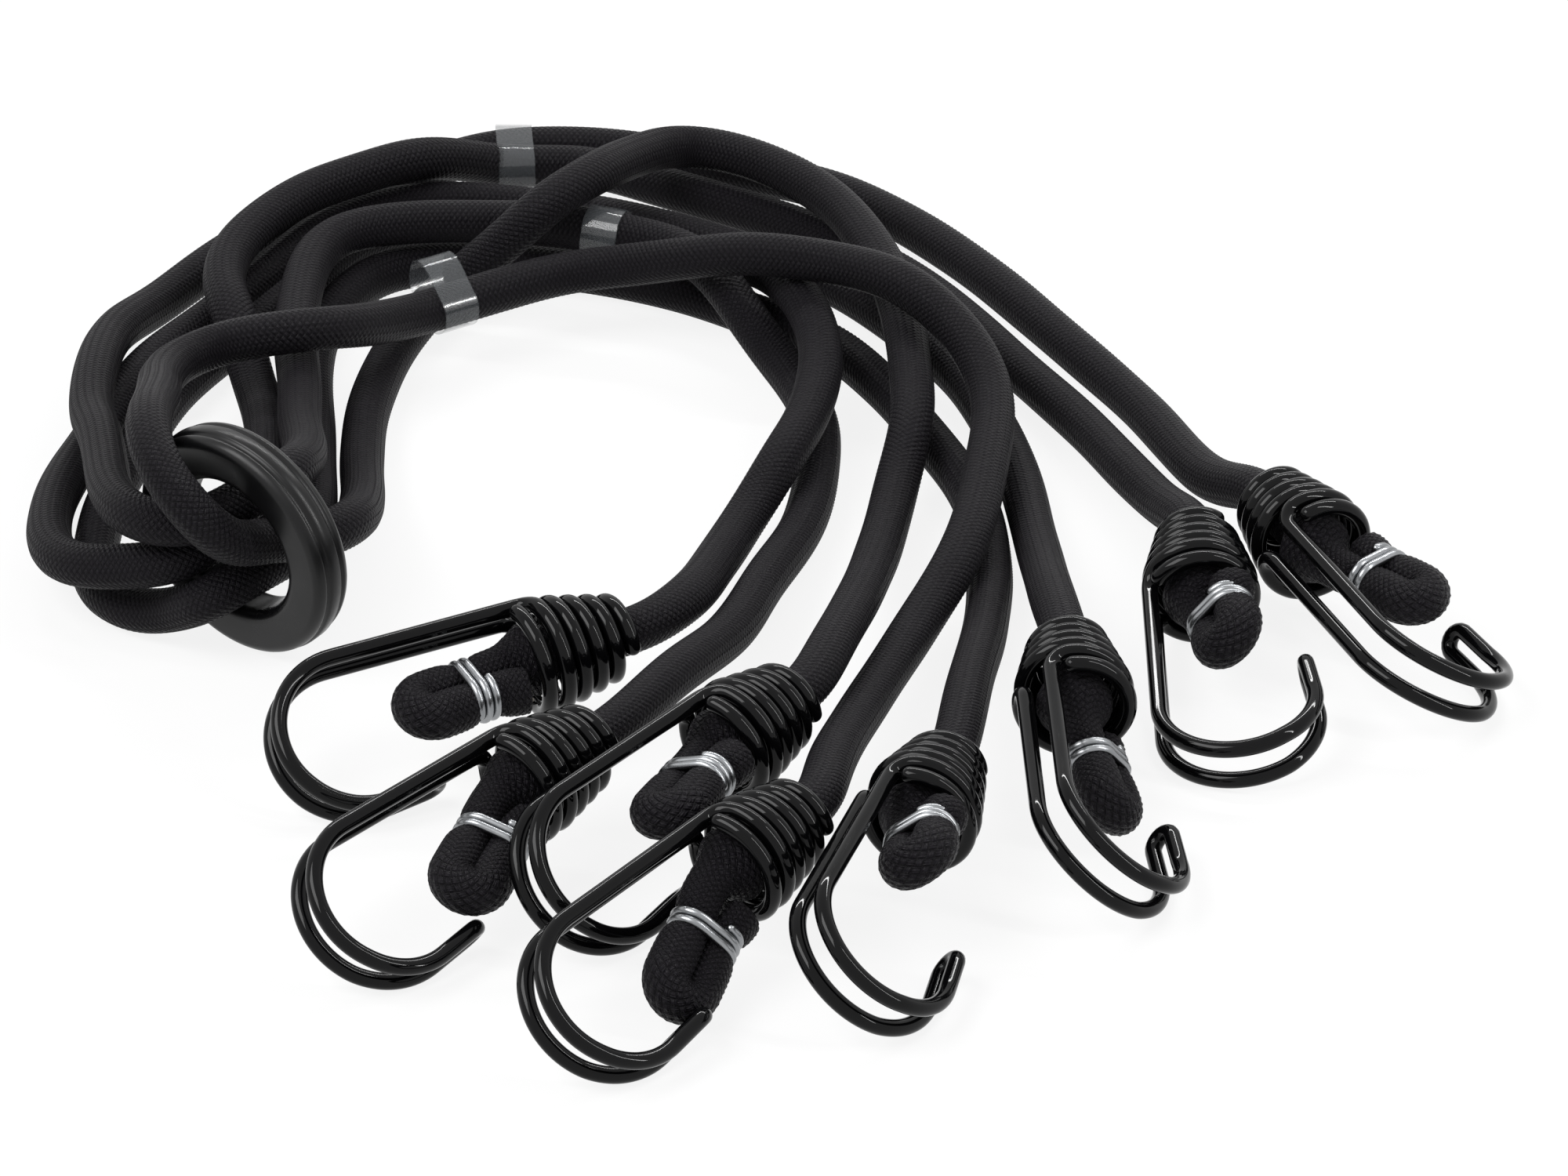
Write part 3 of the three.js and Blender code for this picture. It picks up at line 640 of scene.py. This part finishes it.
def folded_path(lean, share):
    """Flat path: straight out of the coil, a lean, a leg, a half turn, and the leg back."""
    tilt, reach = np.radians(lean), FOLD_REACH * share
    fold = FOLD_RADIUS + FOLD_HALF_GAP
    forward = np.array([np.cos(tilt), np.sin(tilt)])
    sideways = np.array([-np.sin(tilt), np.cos(tilt)])
    bend = arc((WIRE_RADIUS, LEAN_RADIUS), LEAN_RADIUS, -np.pi / 2, -np.pi / 2 + tilt, 8)
    root = bend[-1]
    straight = (reach - FOLD_RADIUS - fold - root[0]) / forward[0]
    centre = root + straight * forward + fold * sideways
    turn = arc(centre, fold, tilt - np.pi / 2, tilt + np.pi / 2, 24)
    flare = np.radians(FLARE_ANGLE)
    back = -np.cos(flare) * forward + np.sin(flare) * sideways
    run = (turn[-1][0] - CUT_SETBACK + back[0] * FLARE_LENGTH) / forward[0]
    hinge = turn[-1] - run * forward
    stop = hinge + FLARE_LENGTH * back
    flat = np.vstack([[(-LEAD_IN, 0)], bend, turn, [hinge], [stop]])
    clamp_run = (CLAMP_PLACE * reach - root[0]) / forward[0]
    clamp = root + clamp_run * forward + fold * sideways
    return {
        "path": np.column_stack([flat, np.zeros(len(flat))]),
        "turn": centre,
        "clamp": clamp,
        "forward": forward,
        "sideways": sideways,
        "back": back,
        "cut": stop,
    }


def rolled(points, lean_roll):
    """Points turned about the coil's axis, by the way that the fold leans."""
    sine, cosine = np.sin(np.radians(lean_roll)), np.cos(np.radians(lean_roll))
    return np.asarray(points, float) @ [[1, 0, 0], [0, cosine, sine], [0, -sine, cosine]]


def bell(distance, reach):
    """One at no distance, falling to nearly nothing at twice the reach."""
    return np.exp(-((distance / reach) ** 2))


def risen(place_along, start):
    """Nought before the start, one past it, with a short slope between."""
    return 1 / (1 + np.exp(-(place_along - start) / SWELL_EASE))


def fold_section(path, facts):
    """Radii: a base radius, a dip at the clamp, swelling beside it, and a flat inner side."""
    along = ROW_STEP * np.arange(len(path))
    columns = FOLD_CARRIERS * COLUMNS_PER_PILLOW
    forward3 = np.append(facts["forward"], 0)
    clamp3, turn3 = np.append(facts["clamp"], 0), np.append(facts["turn"], 0)
    from_clamp = (path - clamp3) @ forward3
    squeeze = bell(from_clamp, SQUEEZE_REACH)
    loose = risen(path[:, 0], SWELL_FROM) * (FOLD_SWELL + KNOB_SWELL * risen(from_clamp, KNOB_FROM))
    loose = loose + CUT_SWELL * bell(along[-1] - along, CUT_REACH)
    swell = loose * (1 - squeeze) + ROOT_SWELL * bell(along - ROOT_MIDDLE, ROOT_REACH)
    radius = (FOLD_RADIUS + SHEATH_LOOSE + swell)[:, None]
    middle = clamp3 + ((path - clamp3) @ forward3)[:, None] * forward3
    middle = np.where(((path - turn3) @ forward3)[:, None] > 0, turn3, middle)
    toward = unit(middle - path)
    facing = np.einsum("rcx,rx->rc", spokes(path, columns), toward)
    flat_side = (FOLD_RADIUS + FOLD_HALF_GAP - FLAT_CLEARANCE) / np.maximum(facing, 0.05)
    relief = braid_relief(along, FOLD_CARRIERS, BRAID_PITCH, columns)
    shift = CLAMP_SQUEEZE * squeeze[:, None]
    round_side = shift * facing + np.sqrt(radius**2 - shift**2 * (1 - facing**2))
    reach = round_side + FOLD_PILLOW_HEIGHT * (relief - PILLOW_MIDDLE)
    doubled = (from_clamp > PRESSED_FROM)[:, None]
    return np.where(doubled, np.minimum(reach, flat_side), reach), along


# %% [markdown]
# The cut end is not a plain disc. The sheath's rim rolls in a little, and the rubber inside is a
# bundle of square-cut strands that stand out unevenly.

# %% Make the folded ends and their cut rubber strands
RUBBER_STRAND = 0.42
STRAND_SIDES = 8
STRAND_GAP = 0.97
STRAND_REACH = (0.5, 1.25)
RIM_STEPS = ((0.97, 0.35), (0.9, 0.55), (0.83, 0.45), (0.8, 0.0), (0.8, -0.8))
RIM_STEP = 0.4
chance = np.random.default_rng(20)


def rim_rows(grid, tangent_end, middle):
    """Extra rows that roll the cut edge inwards and a little back into the end."""
    spread = grid[-1] - middle
    return np.stack([middle + spread * share + tangent_end * out for share, out in RIM_STEPS])


def strand_places(radius, spacing):
    """Centres of strands packed like honeycomb inside a circle."""
    count = int(radius / spacing) + 2
    i, j = np.meshgrid(np.arange(-count, count + 1), np.arange(-count, count + 1))
    x = spacing * (i + 0.5 * (j % 2)).ravel()
    y = spacing * np.sqrt(0.75) * j.ravel()
    keep = np.hypot(x, y) < radius - spacing / 2
    return x[keep], y[keep]


def strand_bundle(name, root, direction, material, body):
    """One mesh of many short prisms, each with its own small reach past the cut."""
    x, y = strand_places(CORE_RADIUS, 2 * RUBBER_STRAND)
    side = unit(np.cross(direction, (0.3, 0.2, 0.9)))
    other = np.cross(direction, side)
    centres = root + x[:, None] * side + y[:, None] * other
    reach = chance.uniform(*STRAND_REACH, len(x))
    turn = round_turn(STRAND_SIDES)
    circle = np.cos(turn)[:, None] * side + np.sin(turn)[:, None] * other
    levels = [(-0.6, 1.0), (1.0, 1.0), (1.06, 0.8)]
    rows = [
        centres[:, None] + RUBBER_STRAND * STRAND_GAP * width * circle
        + (np.where(level < 0, level, level * reach))[:, None, None] * direction
        for level, width in levels
    ]
    points = np.stack(rows, axis=1)
    strands, rings, sides = points.shape[:3]
    base, rim = (np.arange(strands) * rings * sides)[:, None, None], np.arange(sides)
    quads = (base + tube_quads(rings, sides)).reshape(-1, 4)
    lids = base[:, 0] + (rings - 1) * sides + rim
    soles = base[:, 0] + rim[::-1]
    faces = quads.tolist() + lids.tolist() + soles.tolist()
    return add_piece(
        name, points.reshape(-1, 3), faces, material, body, smooth=False
    )


# %% [markdown]
# ## Natural rubber
# The strands are cut from pale latex, greyed by dust and talc. It is a dull soft surface with
# faint mottling.


# %% Rubber material
def cut_rubber():
    """Latex strands: pale grey-buff with slow mottling, dull."""
    material, tree = new_material("cut_latex_strands")
    position = add_node(tree, "TexCoord")
    mottle = add_node(
        tree, "TexNoise", {"Vector": position.outputs["Object"], "Scale": 900.0, "Detail": 2.0}
    )
    ends = {6: colour("#4f4c47"), 7: colour("#a39d92")}
    shade = add_node(tree, "Mix", {"Factor": mottle, **ends}, data_type="RGBA")
    bump = add_node(tree, "Bump", {"Height": mottle, "Strength": 0.3, "Distance": 0.0001})
    shader = add_node(
        tree,
        "BsdfPrincipled",
        {"Base Color": shade.outputs[2], "Roughness": 0.8, "IOR": 1.52, "Normal": bump},
    )
    add_node(tree, "OutputMaterial", {"Surface": shader})
    return material


rubber = cut_rubber()
# The darker colour is the painted shade in the braid's valleys, the lighter one the pillow tops.
fold_sheath = braided_sheath(
    "loosened_polyester_sheath", "#060507", "#19171b", FOLD_CARRIERS, BRAID_PITCH, 1.0
)

# %% Make each folded end
for key, hook in HOOKS.items():
    lean, lean_roll, share = hook["fold"]
    facts = folded_path(lean, share)
    flat = resample(facts["path"], ROW_STEP)
    reach, along = fold_section(flat, facts)
    local = sweep(flat, reach)
    rim = rim_rows(local, np.append(facts["back"], 0), flat[-1])
    local = np.concatenate([local, rim])
    along = np.append(along, along[-1] + RIM_STEP * np.arange(1, len(rim) + 1))
    grid = on_arm(rolled(local, lean_roll), key)
    name = f"folded_end_{key}_sheath"
    piece = skin_grid(name, grid, along, fold_sheath, "cords")
    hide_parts(f"folded_end_{key}")
    cut = np.append(facts["cut"], 0)
    back = np.append(facts["back"], 0)
    ends = on_arm(rolled([cut, cut + back], lean_roll), key)
    direction = unit(ends[1] - ends[0])
    strands = strand_bundle(f"core_end_{key}_strands", ends[0], direction, rubber, "cords")
    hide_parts(f"core_end_{key}")
print("folded ends:", len(HOOKS), "with", len(piece.data.polygons), "faces each")

# %% [markdown]
# ## Gloss black coated wire
# The hooks are steel wire dipped in black enamel. It is smooth and wet-looking, with a very
# slight waviness where the coating ran, and it mirrors lamps as thin bright lines.


# %% Hook wire material
def coated_wire():
    """Black enamel on steel: near black, smooth, with faint runs."""
    material, tree = new_material("dipped_black_enamel")
    position = add_node(tree, "TexCoord")
    runs = add_node(
        tree, "TexNoise", {"Vector": position.outputs["Object"], "Scale": 110.0, "Detail": 1.0}
    )
    bump = add_node(tree, "Bump", {"Height": runs, "Strength": 0.03, "Distance": 0.0004})
    rubbed = add_node(
        tree,
        "MapRange",
        {"Value": runs, "From Min": 0.35, "From Max": 0.75, "To Min": 0.05, "To Max": 0.1},
    )
    shader = add_node(
        tree,
        "BsdfPrincipled",
        {
            "Base Color": colour("#060607"),
            "Roughness": rubbed,
            "IOR": 1.5,
            "Specular IOR Level": 0.17,
            "Normal": bump,
        },
    )
    add_node(tree, "OutputMaterial", {"Surface": shader})
    return material


enamel = coated_wire()

# %% [markdown]
# ## Hooks
# A hook is one length of wire. It starts on the coil's mouth beside the first leg, turns up
# into the second leg, goes round the bend, back through a tight hairpin at the tip, round the
# bend again beside itself, down the first leg, and winds on as the coil, each turn a little
# smaller. All of it is one path, built from arcs, and one round section carried along it.

# %% Path of a hook
WIRE_SIDES = 20
COIL_STEP = 0.9
HALF_SPACING = WIRE_SPACING / 2
HALF_TIP = TIP_SPACING / 2
LEG_OFFSET = np.sqrt(MOUTH_RADIUS**2 - HALF_SPACING**2)
LEG_ANGLE = np.arctan2(HALF_SPACING, LEG_OFFSET)


def on_coil(x, radius, angle):
    """Points round the coil's axis: the angle starts at the legs' side."""
    x, radius, angle = np.broadcast_arrays(x, radius, angle)
    return np.stack([x, -radius * np.cos(angle), radius * np.sin(angle)], axis=-1)


def shoulder(start, side):
    """A quarter turn that takes a leg round into the coil, laid on the coil's cylinder."""
    phase = np.linspace(0, np.pi / 2, 10)
    swept = SHOULDER_RADIUS * (1 - np.cos(phase)) / MOUTH_RADIUS
    x = start - SHOULDER_RADIUS * np.sin(phase)
    return on_coil(x, MOUTH_RADIUS, side * (LEG_ANGLE + swept))


def bend(side):
    """The hook's bend, a little over a half circle; past the seat the wires draw together."""
    share = np.linspace(0, 1, 55)
    angle = (np.pi + np.radians(BEND_OVER)) * share
    centre_x, centre_y = LEG_LENGTH, BEND_RADIUS - LEG_OFFSET
    x, y = centre_x + BEND_RADIUS * np.sin(angle), centre_y - BEND_RADIUS * np.cos(angle)
    z = side * np.interp(share, (NARROW_FROM, 1), (HALF_SPACING, HALF_TIP))
    return np.stack([x, y, z], axis=1)


def hairpin():
    """The tip: a half circle that crosses from one wire to the other."""
    over = np.pi + np.radians(BEND_OVER)
    ahead = np.array([np.cos(over), np.sin(over), 0])
    base = bend(0)[-1] + (TIP_LENGTH - HALF_TIP) * ahead
    angle = np.linspace(0, np.pi, 24)[:, None]
    crossing = np.array([0, 0, -1.0])
    return base + HALF_TIP * (np.sin(angle) * ahead + np.cos(angle) * crossing)


def hook_path():
    """The whole wire, from its end on the mouth to its end at the narrow end of the coil."""
    sweep_angle = SHOULDER_RADIUS / MOUTH_RADIUS + LEG_ANGLE
    share = np.linspace(0, 1, 40)[1:]
    loop = 2 * np.pi - 2 * sweep_angle
    start = SHOULDER_STAGGER - SHOULDER_RADIUS
    mouth_turn = on_coil(start * (1 - share), MOUTH_RADIUS, -sweep_angle - loop * share)
    turn = np.linspace(0, 1, int(COIL_TURNS * 40))[1:]
    coil = on_coil(
        -SHOULDER_RADIUS - COIL_PITCH * COIL_TURNS * turn,
        MOUTH_RADIUS + (COIL_END_RADIUS - MOUTH_RADIUS) * turn,
        sweep_angle + 2 * np.pi * COIL_TURNS * turn,
    )
    second = np.vstack([mouth_turn[::-1], shoulder(SHOULDER_STAGGER, -1)[::-1]])
    return np.vstack([second, bend(-1), hairpin()[1:-1], bend(1)[::-1], shoulder(0, 1), coil])


# %% Make the hooks
wire_path = resample(hook_path(), COIL_STEP)
wire_stations, wire_radii = domed(wire_path, WIRE_RADIUS, WIRE_SIDES)
wire_grid = sweep(wire_stations, wire_radii)
wire_along = distance_along(wire_stations)
for key in HOOKS:
    grid, name = on_arm(wire_grid, key), f"hook_{key}_coated_wire"
    piece = skin_grid(name, grid, wire_along, enamel, f"hook_{key}")
    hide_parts(f"hook_wire_{key}")
print("each hook is bent from", round(wire_along[-1]), "mm of wire")

# %% [markdown]
# ## Clamps
# The clamp is soft steel wire with a bright zinc plate, wound about twice round both legs of the
# fold and squeezed. Seen from its end it is an oval: two half circles joined by straights.


# %% Zinc wire material
def plated_wire():
    """Zinc plate on steel wire: bright metal with faint lines drawn along it."""
    material, tree = new_material("bright_zinc_plate")
    uv = add_node(tree, "UVMap", uv_map="along_and_round")
    stretched = add_node(tree, "Mapping", {"Vector": uv, "Scale": (5.0, 0.12, 1.0)})
    lines = add_node(tree, "TexNoise", {"Vector": stretched, "Scale": 1.0, "Detail": 3.0})
    rough = add_node(tree, "MapRange", {"Value": lines, "To Min": 0.22, "To Max": 0.34})
    ends = {6: colour("#75777a"), 7: colour("#a4a6a8")}
    shade = add_node(tree, "Mix", {"Factor": lines, **ends}, data_type="RGBA")
    bump = add_node(tree, "Bump", {"Height": lines, "Strength": 0.05, "Distance": 0.0001})
    shader = add_node(
        tree,
        "BsdfPrincipled",
        {"Base Color": shade.outputs[2], "Metallic": 1.0, "Roughness": rough, "Normal": bump},
    )
    add_node(tree, "OutputMaterial", {"Surface": shader})
    return material


zinc = plated_wire()


# %% Make the clamps
CLAMP_SIDES = 14
STATIONS_PER_LAP = 70


def clamp_path():
    """Wire round an oval: half circles at the ends of a straight, rising by the pitch."""
    fold = FOLD_RADIUS + FOLD_HALF_GAP
    radius = FOLD_RADIUS + SHEATH_LOOSE + CLAMP_WIRE_RADIUS - CLAMP_BITE
    angle = np.linspace(0, np.pi, 20)
    half = np.stack(
        [fold - CLAMP_SQUEEZE + radius * np.sin(angle), radius * np.cos(angle)], axis=1
    )
    oval = np.vstack([half, -half, half[:1]])
    lap = distance_along(np.column_stack([oval, np.zeros(len(oval))]))
    place_on_lap = np.linspace(0, CLAMP_TURNS, int(CLAMP_TURNS * STATIONS_PER_LAP))
    y, z = (np.interp((place_on_lap % 1) * lap[-1], lap, oval[:, k]) for k in range(2))
    x = CLAMP_PITCH * (place_on_lap - CLAMP_TURNS / 2)
    return np.stack([x, y, z], axis=1)


clamp_stations, clamp_radii = domed(clamp_path(), CLAMP_WIRE_RADIUS, CLAMP_SIDES)
clamp_grid = sweep(clamp_stations, clamp_radii, facing=(1, 0, 0))
clamp_along = distance_along(clamp_stations)
for key, hook in HOOKS.items():
    lean, lean_roll, share = hook["fold"]
    facts = folded_path(lean, share)
    flat = clamp_grid[..., :2] @ np.array([facts["forward"], facts["sideways"]]) + facts["clamp"]
    turned = np.concatenate([flat, clamp_grid[..., 2:]], axis=-1)
    grid, name = on_arm(rolled(turned, lean_roll), key), f"clamp_{key}_plated_wire"
    piece = skin_grid(name, grid, clamp_along, zinc, "cords")
    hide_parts(f"clamp_ring_{key}")
print("clamps:", len(HOOKS))

# %% [markdown]
# ## Centre ring
# The ring is moulded in one piece from hard black plastic. Its bore is rounded so that it doesn't
# chafe the cords, its two faces are flat with round shoulders, and a low crown stands between two
# fine grooves. It is a turned shape: a closed profile, radius against width, carried round
# the axis.


# %% Ring material
def moulded_plastic():
    """Black acetal: semi-gloss, a fine moulded grain and faint rubbed patches."""
    material, tree = new_material("moulded_black_acetal")
    position = add_node(tree, "TexCoord")
    place_on = {"Vector": position.outputs["Object"]}
    grain = add_node(tree, "TexNoise", {**place_on, "Scale": 2200.0, "Detail": 2.0})
    rubs = add_node(tree, "TexNoise", {**place_on, "Scale": 120.0, "Detail": 4.0})
    rough = add_node(
        tree,
        "MapRange",
        {"Value": rubs, "From Min": 0.3, "From Max": 0.7, "To Min": 0.24, "To Max": 0.4},
    )
    bump = add_node(tree, "Bump", {"Height": grain, "Strength": 0.08, "Distance": 0.0001})
    shader = add_node(
        tree,
        "BsdfPrincipled",
        {
            "Base Color": colour("#09090a"),
            "Roughness": rough,
            "IOR": 1.48,
            "Specular IOR Level": 0.3,
            "Normal": bump,
        },
    )
    add_node(tree, "OutputMaterial", {"Surface": shader})
    return material


acetal = moulded_plastic()

# %% Make the ring
RING_OUTER = 25.2
RING_FACE = 22.6
RING_BORE = 15.0
RING_HALF = 4.8
RING_CROWN = 1.4
RING_CROWN_EDGE = 0.25
RING_CROWN_FOOT = 0.12
RING_GROOVE = (23.95, 2.0)
RING_SHOULDER = 2.2
RING_SOFT = 2.6
RING_STEPS = 160


def ring_profile():
    """Closed profile as (radius, width) pairs: bore, soft edge, face, shoulder, groove, crown."""
    quarter = np.linspace(0, np.pi / 2, 9)
    soft = (
        RING_BORE + RING_SOFT * (1 - np.cos(quarter)),
        RING_HALF - RING_SOFT * (1 - np.sin(quarter)),
    )
    round_off = (
        RING_FACE + RING_SHOULDER * np.sin(quarter),
        RING_HALF - RING_SHOULDER * (1 - np.cos(quarter)),
    )
    crown_in = (RING_OUTER - RING_CROWN_EDGE, RING_CROWN + RING_CROWN_FOOT)
    crown = (RING_OUTER, RING_CROWN - RING_CROWN_EDGE)
    side = np.vstack([np.transpose(soft), np.transpose(round_off), RING_GROOVE, crown_in, crown])
    return np.vstack([side[::-1] * (1, -1), side])


radius, width = ring_profile().T
turn = round_turn(RING_STEPS)[:, None]
flat_width = np.broadcast_to(width, (RING_STEPS, len(width)))
around_ring = np.stack([flat_width, np.cos(turn) * radius, np.sin(turn) * radius], axis=-1)
ring_points = place(around_ring.reshape(-1, 3), RING_CENTRE, ring_axes)
ring_faces = wrapped_quads(*around_ring.shape[:2]).tolist()
ring = add_piece(
    "centre_ring_moulding", ring_points, ring_faces, acetal, "centre_ring"
)
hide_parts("centre_ring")
print("ring:", len(ring_faces), "faces")

# %% [markdown]
# ## Clear bands
# Strips of clear film hold some strands together. So thin a film bends no light that the eye
# could see. It shows as a faint veil with streaks of gloss, so each band is a thin closed shell
# with slightly wavy edges, and its material covers a fifth of what lies behind.


# %% Film material
def clear_film():
    """Polypropylene film: clear, glossy, a breath of haze."""
    material, tree = new_material("clear_polypropylene_film")
    position = add_node(tree, "TexCoord")
    ripple = add_node(
        tree, "TexNoise", {"Vector": position.outputs["Object"], "Scale": 70.0, "Detail": 1.0}
    )
    bump = add_node(tree, "Bump", {"Height": ripple, "Strength": 0.04, "Distance": 0.0004})
    shader = add_node(
        tree,
        "BsdfPrincipled",
        {
            "Base Color": colour("#6a6e71"),
            "Roughness": 0.1,
            "IOR": 1.6,
            "Specular IOR Level": 1.0,
            "Alpha": 0.2,
            "Normal": bump,
        },
    )
    add_node(tree, "OutputMaterial", {"Surface": shader})
    return material


film = clear_film()

# %% Make the bands
FILM_THICKNESS = 0.3
BAND_INSIDE = CORD_RADIUS + 0.45
BAND_HALF_WIDTH = 4.1
BAND_STEPS = 96
EDGE_WAVES = ((0.2, 2, 1), (0.07, 5, 2))
PUFF = 0.06
SHARP_EDGE = 40
BANDS = {
    "clear_band_1": {
        "centre": (-72, 183.3, 6.3),
        "along": (1, 0.07, -0.04),
        "spread": (0, 5.2, -0.4),
    },
    "clear_band_2": {
        "centre": (-84.7, 96.7, 17.5),
        "along": (0.838, 0.545, 0),
        "spread": (-1.2, 2, 2),
    },
    "clear_band_3": {
        "centre": (-50, 128, 16),
        "along": (0.928, -0.371, 0),
        "spread": (0, 0.2, 0),
    },
}


def band_grid(across, up, reach, along, seed):
    """The film's section carried round an oval loop; its edges wander by a sum of sines."""
    angle = round_turn(BAND_STEPS)
    direction = np.cos(angle)[:, None] * across + np.sin(angle)[:, None] * up
    base = reach * np.sign(np.cos(angle))[:, None] * across
    edge = sum(size * np.sin(waves * angle + shift * seed) for size, waves, shift in EDGE_WAVES)
    puff = PUFF * np.sin(3 * angle + seed)
    outer, inner = (-1, -0.5, 0, 0.5, 1), (1, 0.5, 0, -0.5)
    section = [(-1, 0), *((side, 1) for side in outer), *((side, 0) for side in inner)]
    columns = []
    for side, layer in section:
        out = BAND_INSIDE + puff + FILM_THICKNESS * layer
        shift = side * BAND_HALF_WIDTH + edge
        columns.append(base + out[:, None] * direction + shift[:, None] * along)
    return np.stack(columns, axis=1)


for seed, (name, band) in enumerate(BANDS.items()):
    along_band = unit(np.array(band["along"], float))
    spread = np.array(band["spread"], float)
    across_band = unit(spread - spread.dot(along_band) * along_band)
    up_band = np.cross(along_band, across_band)
    grid = band_grid(across_band, up_band, np.linalg.norm(spread), along_band, seed + 1.0)
    points = grid.reshape(-1, 3) + band["centre"]
    faces = wrapped_quads(*grid.shape[:2]).tolist()
    piece = add_piece(name + "_film", points, faces, film, "cords")
    piece.data.set_sharp_from_angle(angle=np.radians(SHARP_EDGE))
    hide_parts(name)
print("bands:", len(BANDS))

# %% [markdown]
# ## Floor, world and lamps
# The photograph has a plain white ground. The floor's own colour is near white, and for rays
# from the camera some plain white is mixed in, so that the ground reads as white and a soft
# shadow stays. Gloss and anything clear see the same white.


# %% Floor and world
FLOOR_HALF = 4.0
WHITE_SHARE = 0.86
SKY_LIGHT = 0.35


def seen_directly(tree):
    """One for rays from the camera, from a gloss or through clear film, nought for the rest."""
    rays = add_node(tree, "LightPath")
    ways = [rays.outputs[f"Is {kind} Ray"] for kind in ("Camera", "Glossy", "Transmission")]
    either = add_node(tree, "Math", {0: ways[0], 1: ways[1]}, operation="MAXIMUM")
    return add_node(tree, "Math", {0: either, 1: ways[2]}, operation="MAXIMUM")


floor_material, tree = new_material("white_sweep")
seen = add_node(tree, "Math", {0: seen_directly(tree), 1: WHITE_SHARE}, operation="MULTIPLY")
paper = add_node(tree, "BsdfDiffuse", {"Color": colour("#f4f4f4")})
white = add_node(tree, "Emission", {"Color": colour("#ffffff"), "Strength": 1.0})
mixed = add_node(tree, "MixShader", {0: seen, 1: paper, 2: white})
add_node(tree, "OutputMaterial", {"Surface": mixed})

floor_mesh = bpy.data.meshes.new("floor")
corners = [(x * FLOOR_HALF, y * FLOOR_HALF, 0) for x, y in ((-1, -1), (1, -1), (1, 1), (-1, 1))]
floor_mesh.from_pydata(corners, [], [(0, 1, 2, 3)])
floor_mesh.materials.append(floor_material)
floor = bpy.data.objects.new("floor", floor_mesh)
bpy.context.scene.collection.objects.link(floor)

world = bpy.data.worlds.new("studio")
bpy.context.scene.world = world
world.use_nodes = True
tree = world.node_tree
tree.nodes.clear()
seen = seen_directly(tree)
level = add_node(tree, "MapRange", {"Value": seen, "To Min": SKY_LIGHT, "To Max": 1.0})
sky = add_node(tree, "Background", {"Color": colour("#ffffff"), "Strength": level})
add_node(tree, "OutputWorld", {"Surface": sky})

# %% [markdown]
# Three soft boxes light the part: a wide one high on the left for the cords' soft sheen, and
# two long strips whose mirror images are the thin white lines on the black wire.

# %% Lamps
AIM = np.array([0, 0, 0.02])
LAMPS = {
    "wide_box": {"at": (-0.9, -0.5, 1.3), "size": (1.1, 0.8), "watts": 20.0},
    "long_strip": {"at": (0.2, 0.9, 1.0), "size": (1.6, 0.05), "watts": 10.0},
    "right_strip": {"at": (1.1, -0.5, 0.9), "size": (0.06, 1.3), "watts": 9.0},
}
for name, lamp in LAMPS.items():
    data = bpy.data.lights.new(name, "AREA")
    data.shape = "RECTANGLE"
    data.size, data.size_y = lamp["size"]
    data.energy = lamp["watts"]
    light = bpy.data.objects.new(name, data)
    light.location = lamp["at"]
    aim = AIM - lamp["at"]
    tilt = np.arctan2(np.hypot(aim[0], aim[1]), -aim[2])
    light.rotation_euler = (tilt, 0, np.arctan2(aim[1], aim[0]) - np.pi / 2)
    bpy.context.scene.collection.objects.link(light)
bpy.context.scene.view_settings.view_transform = "Standard"
print("lamps:", ", ".join(LAMPS))
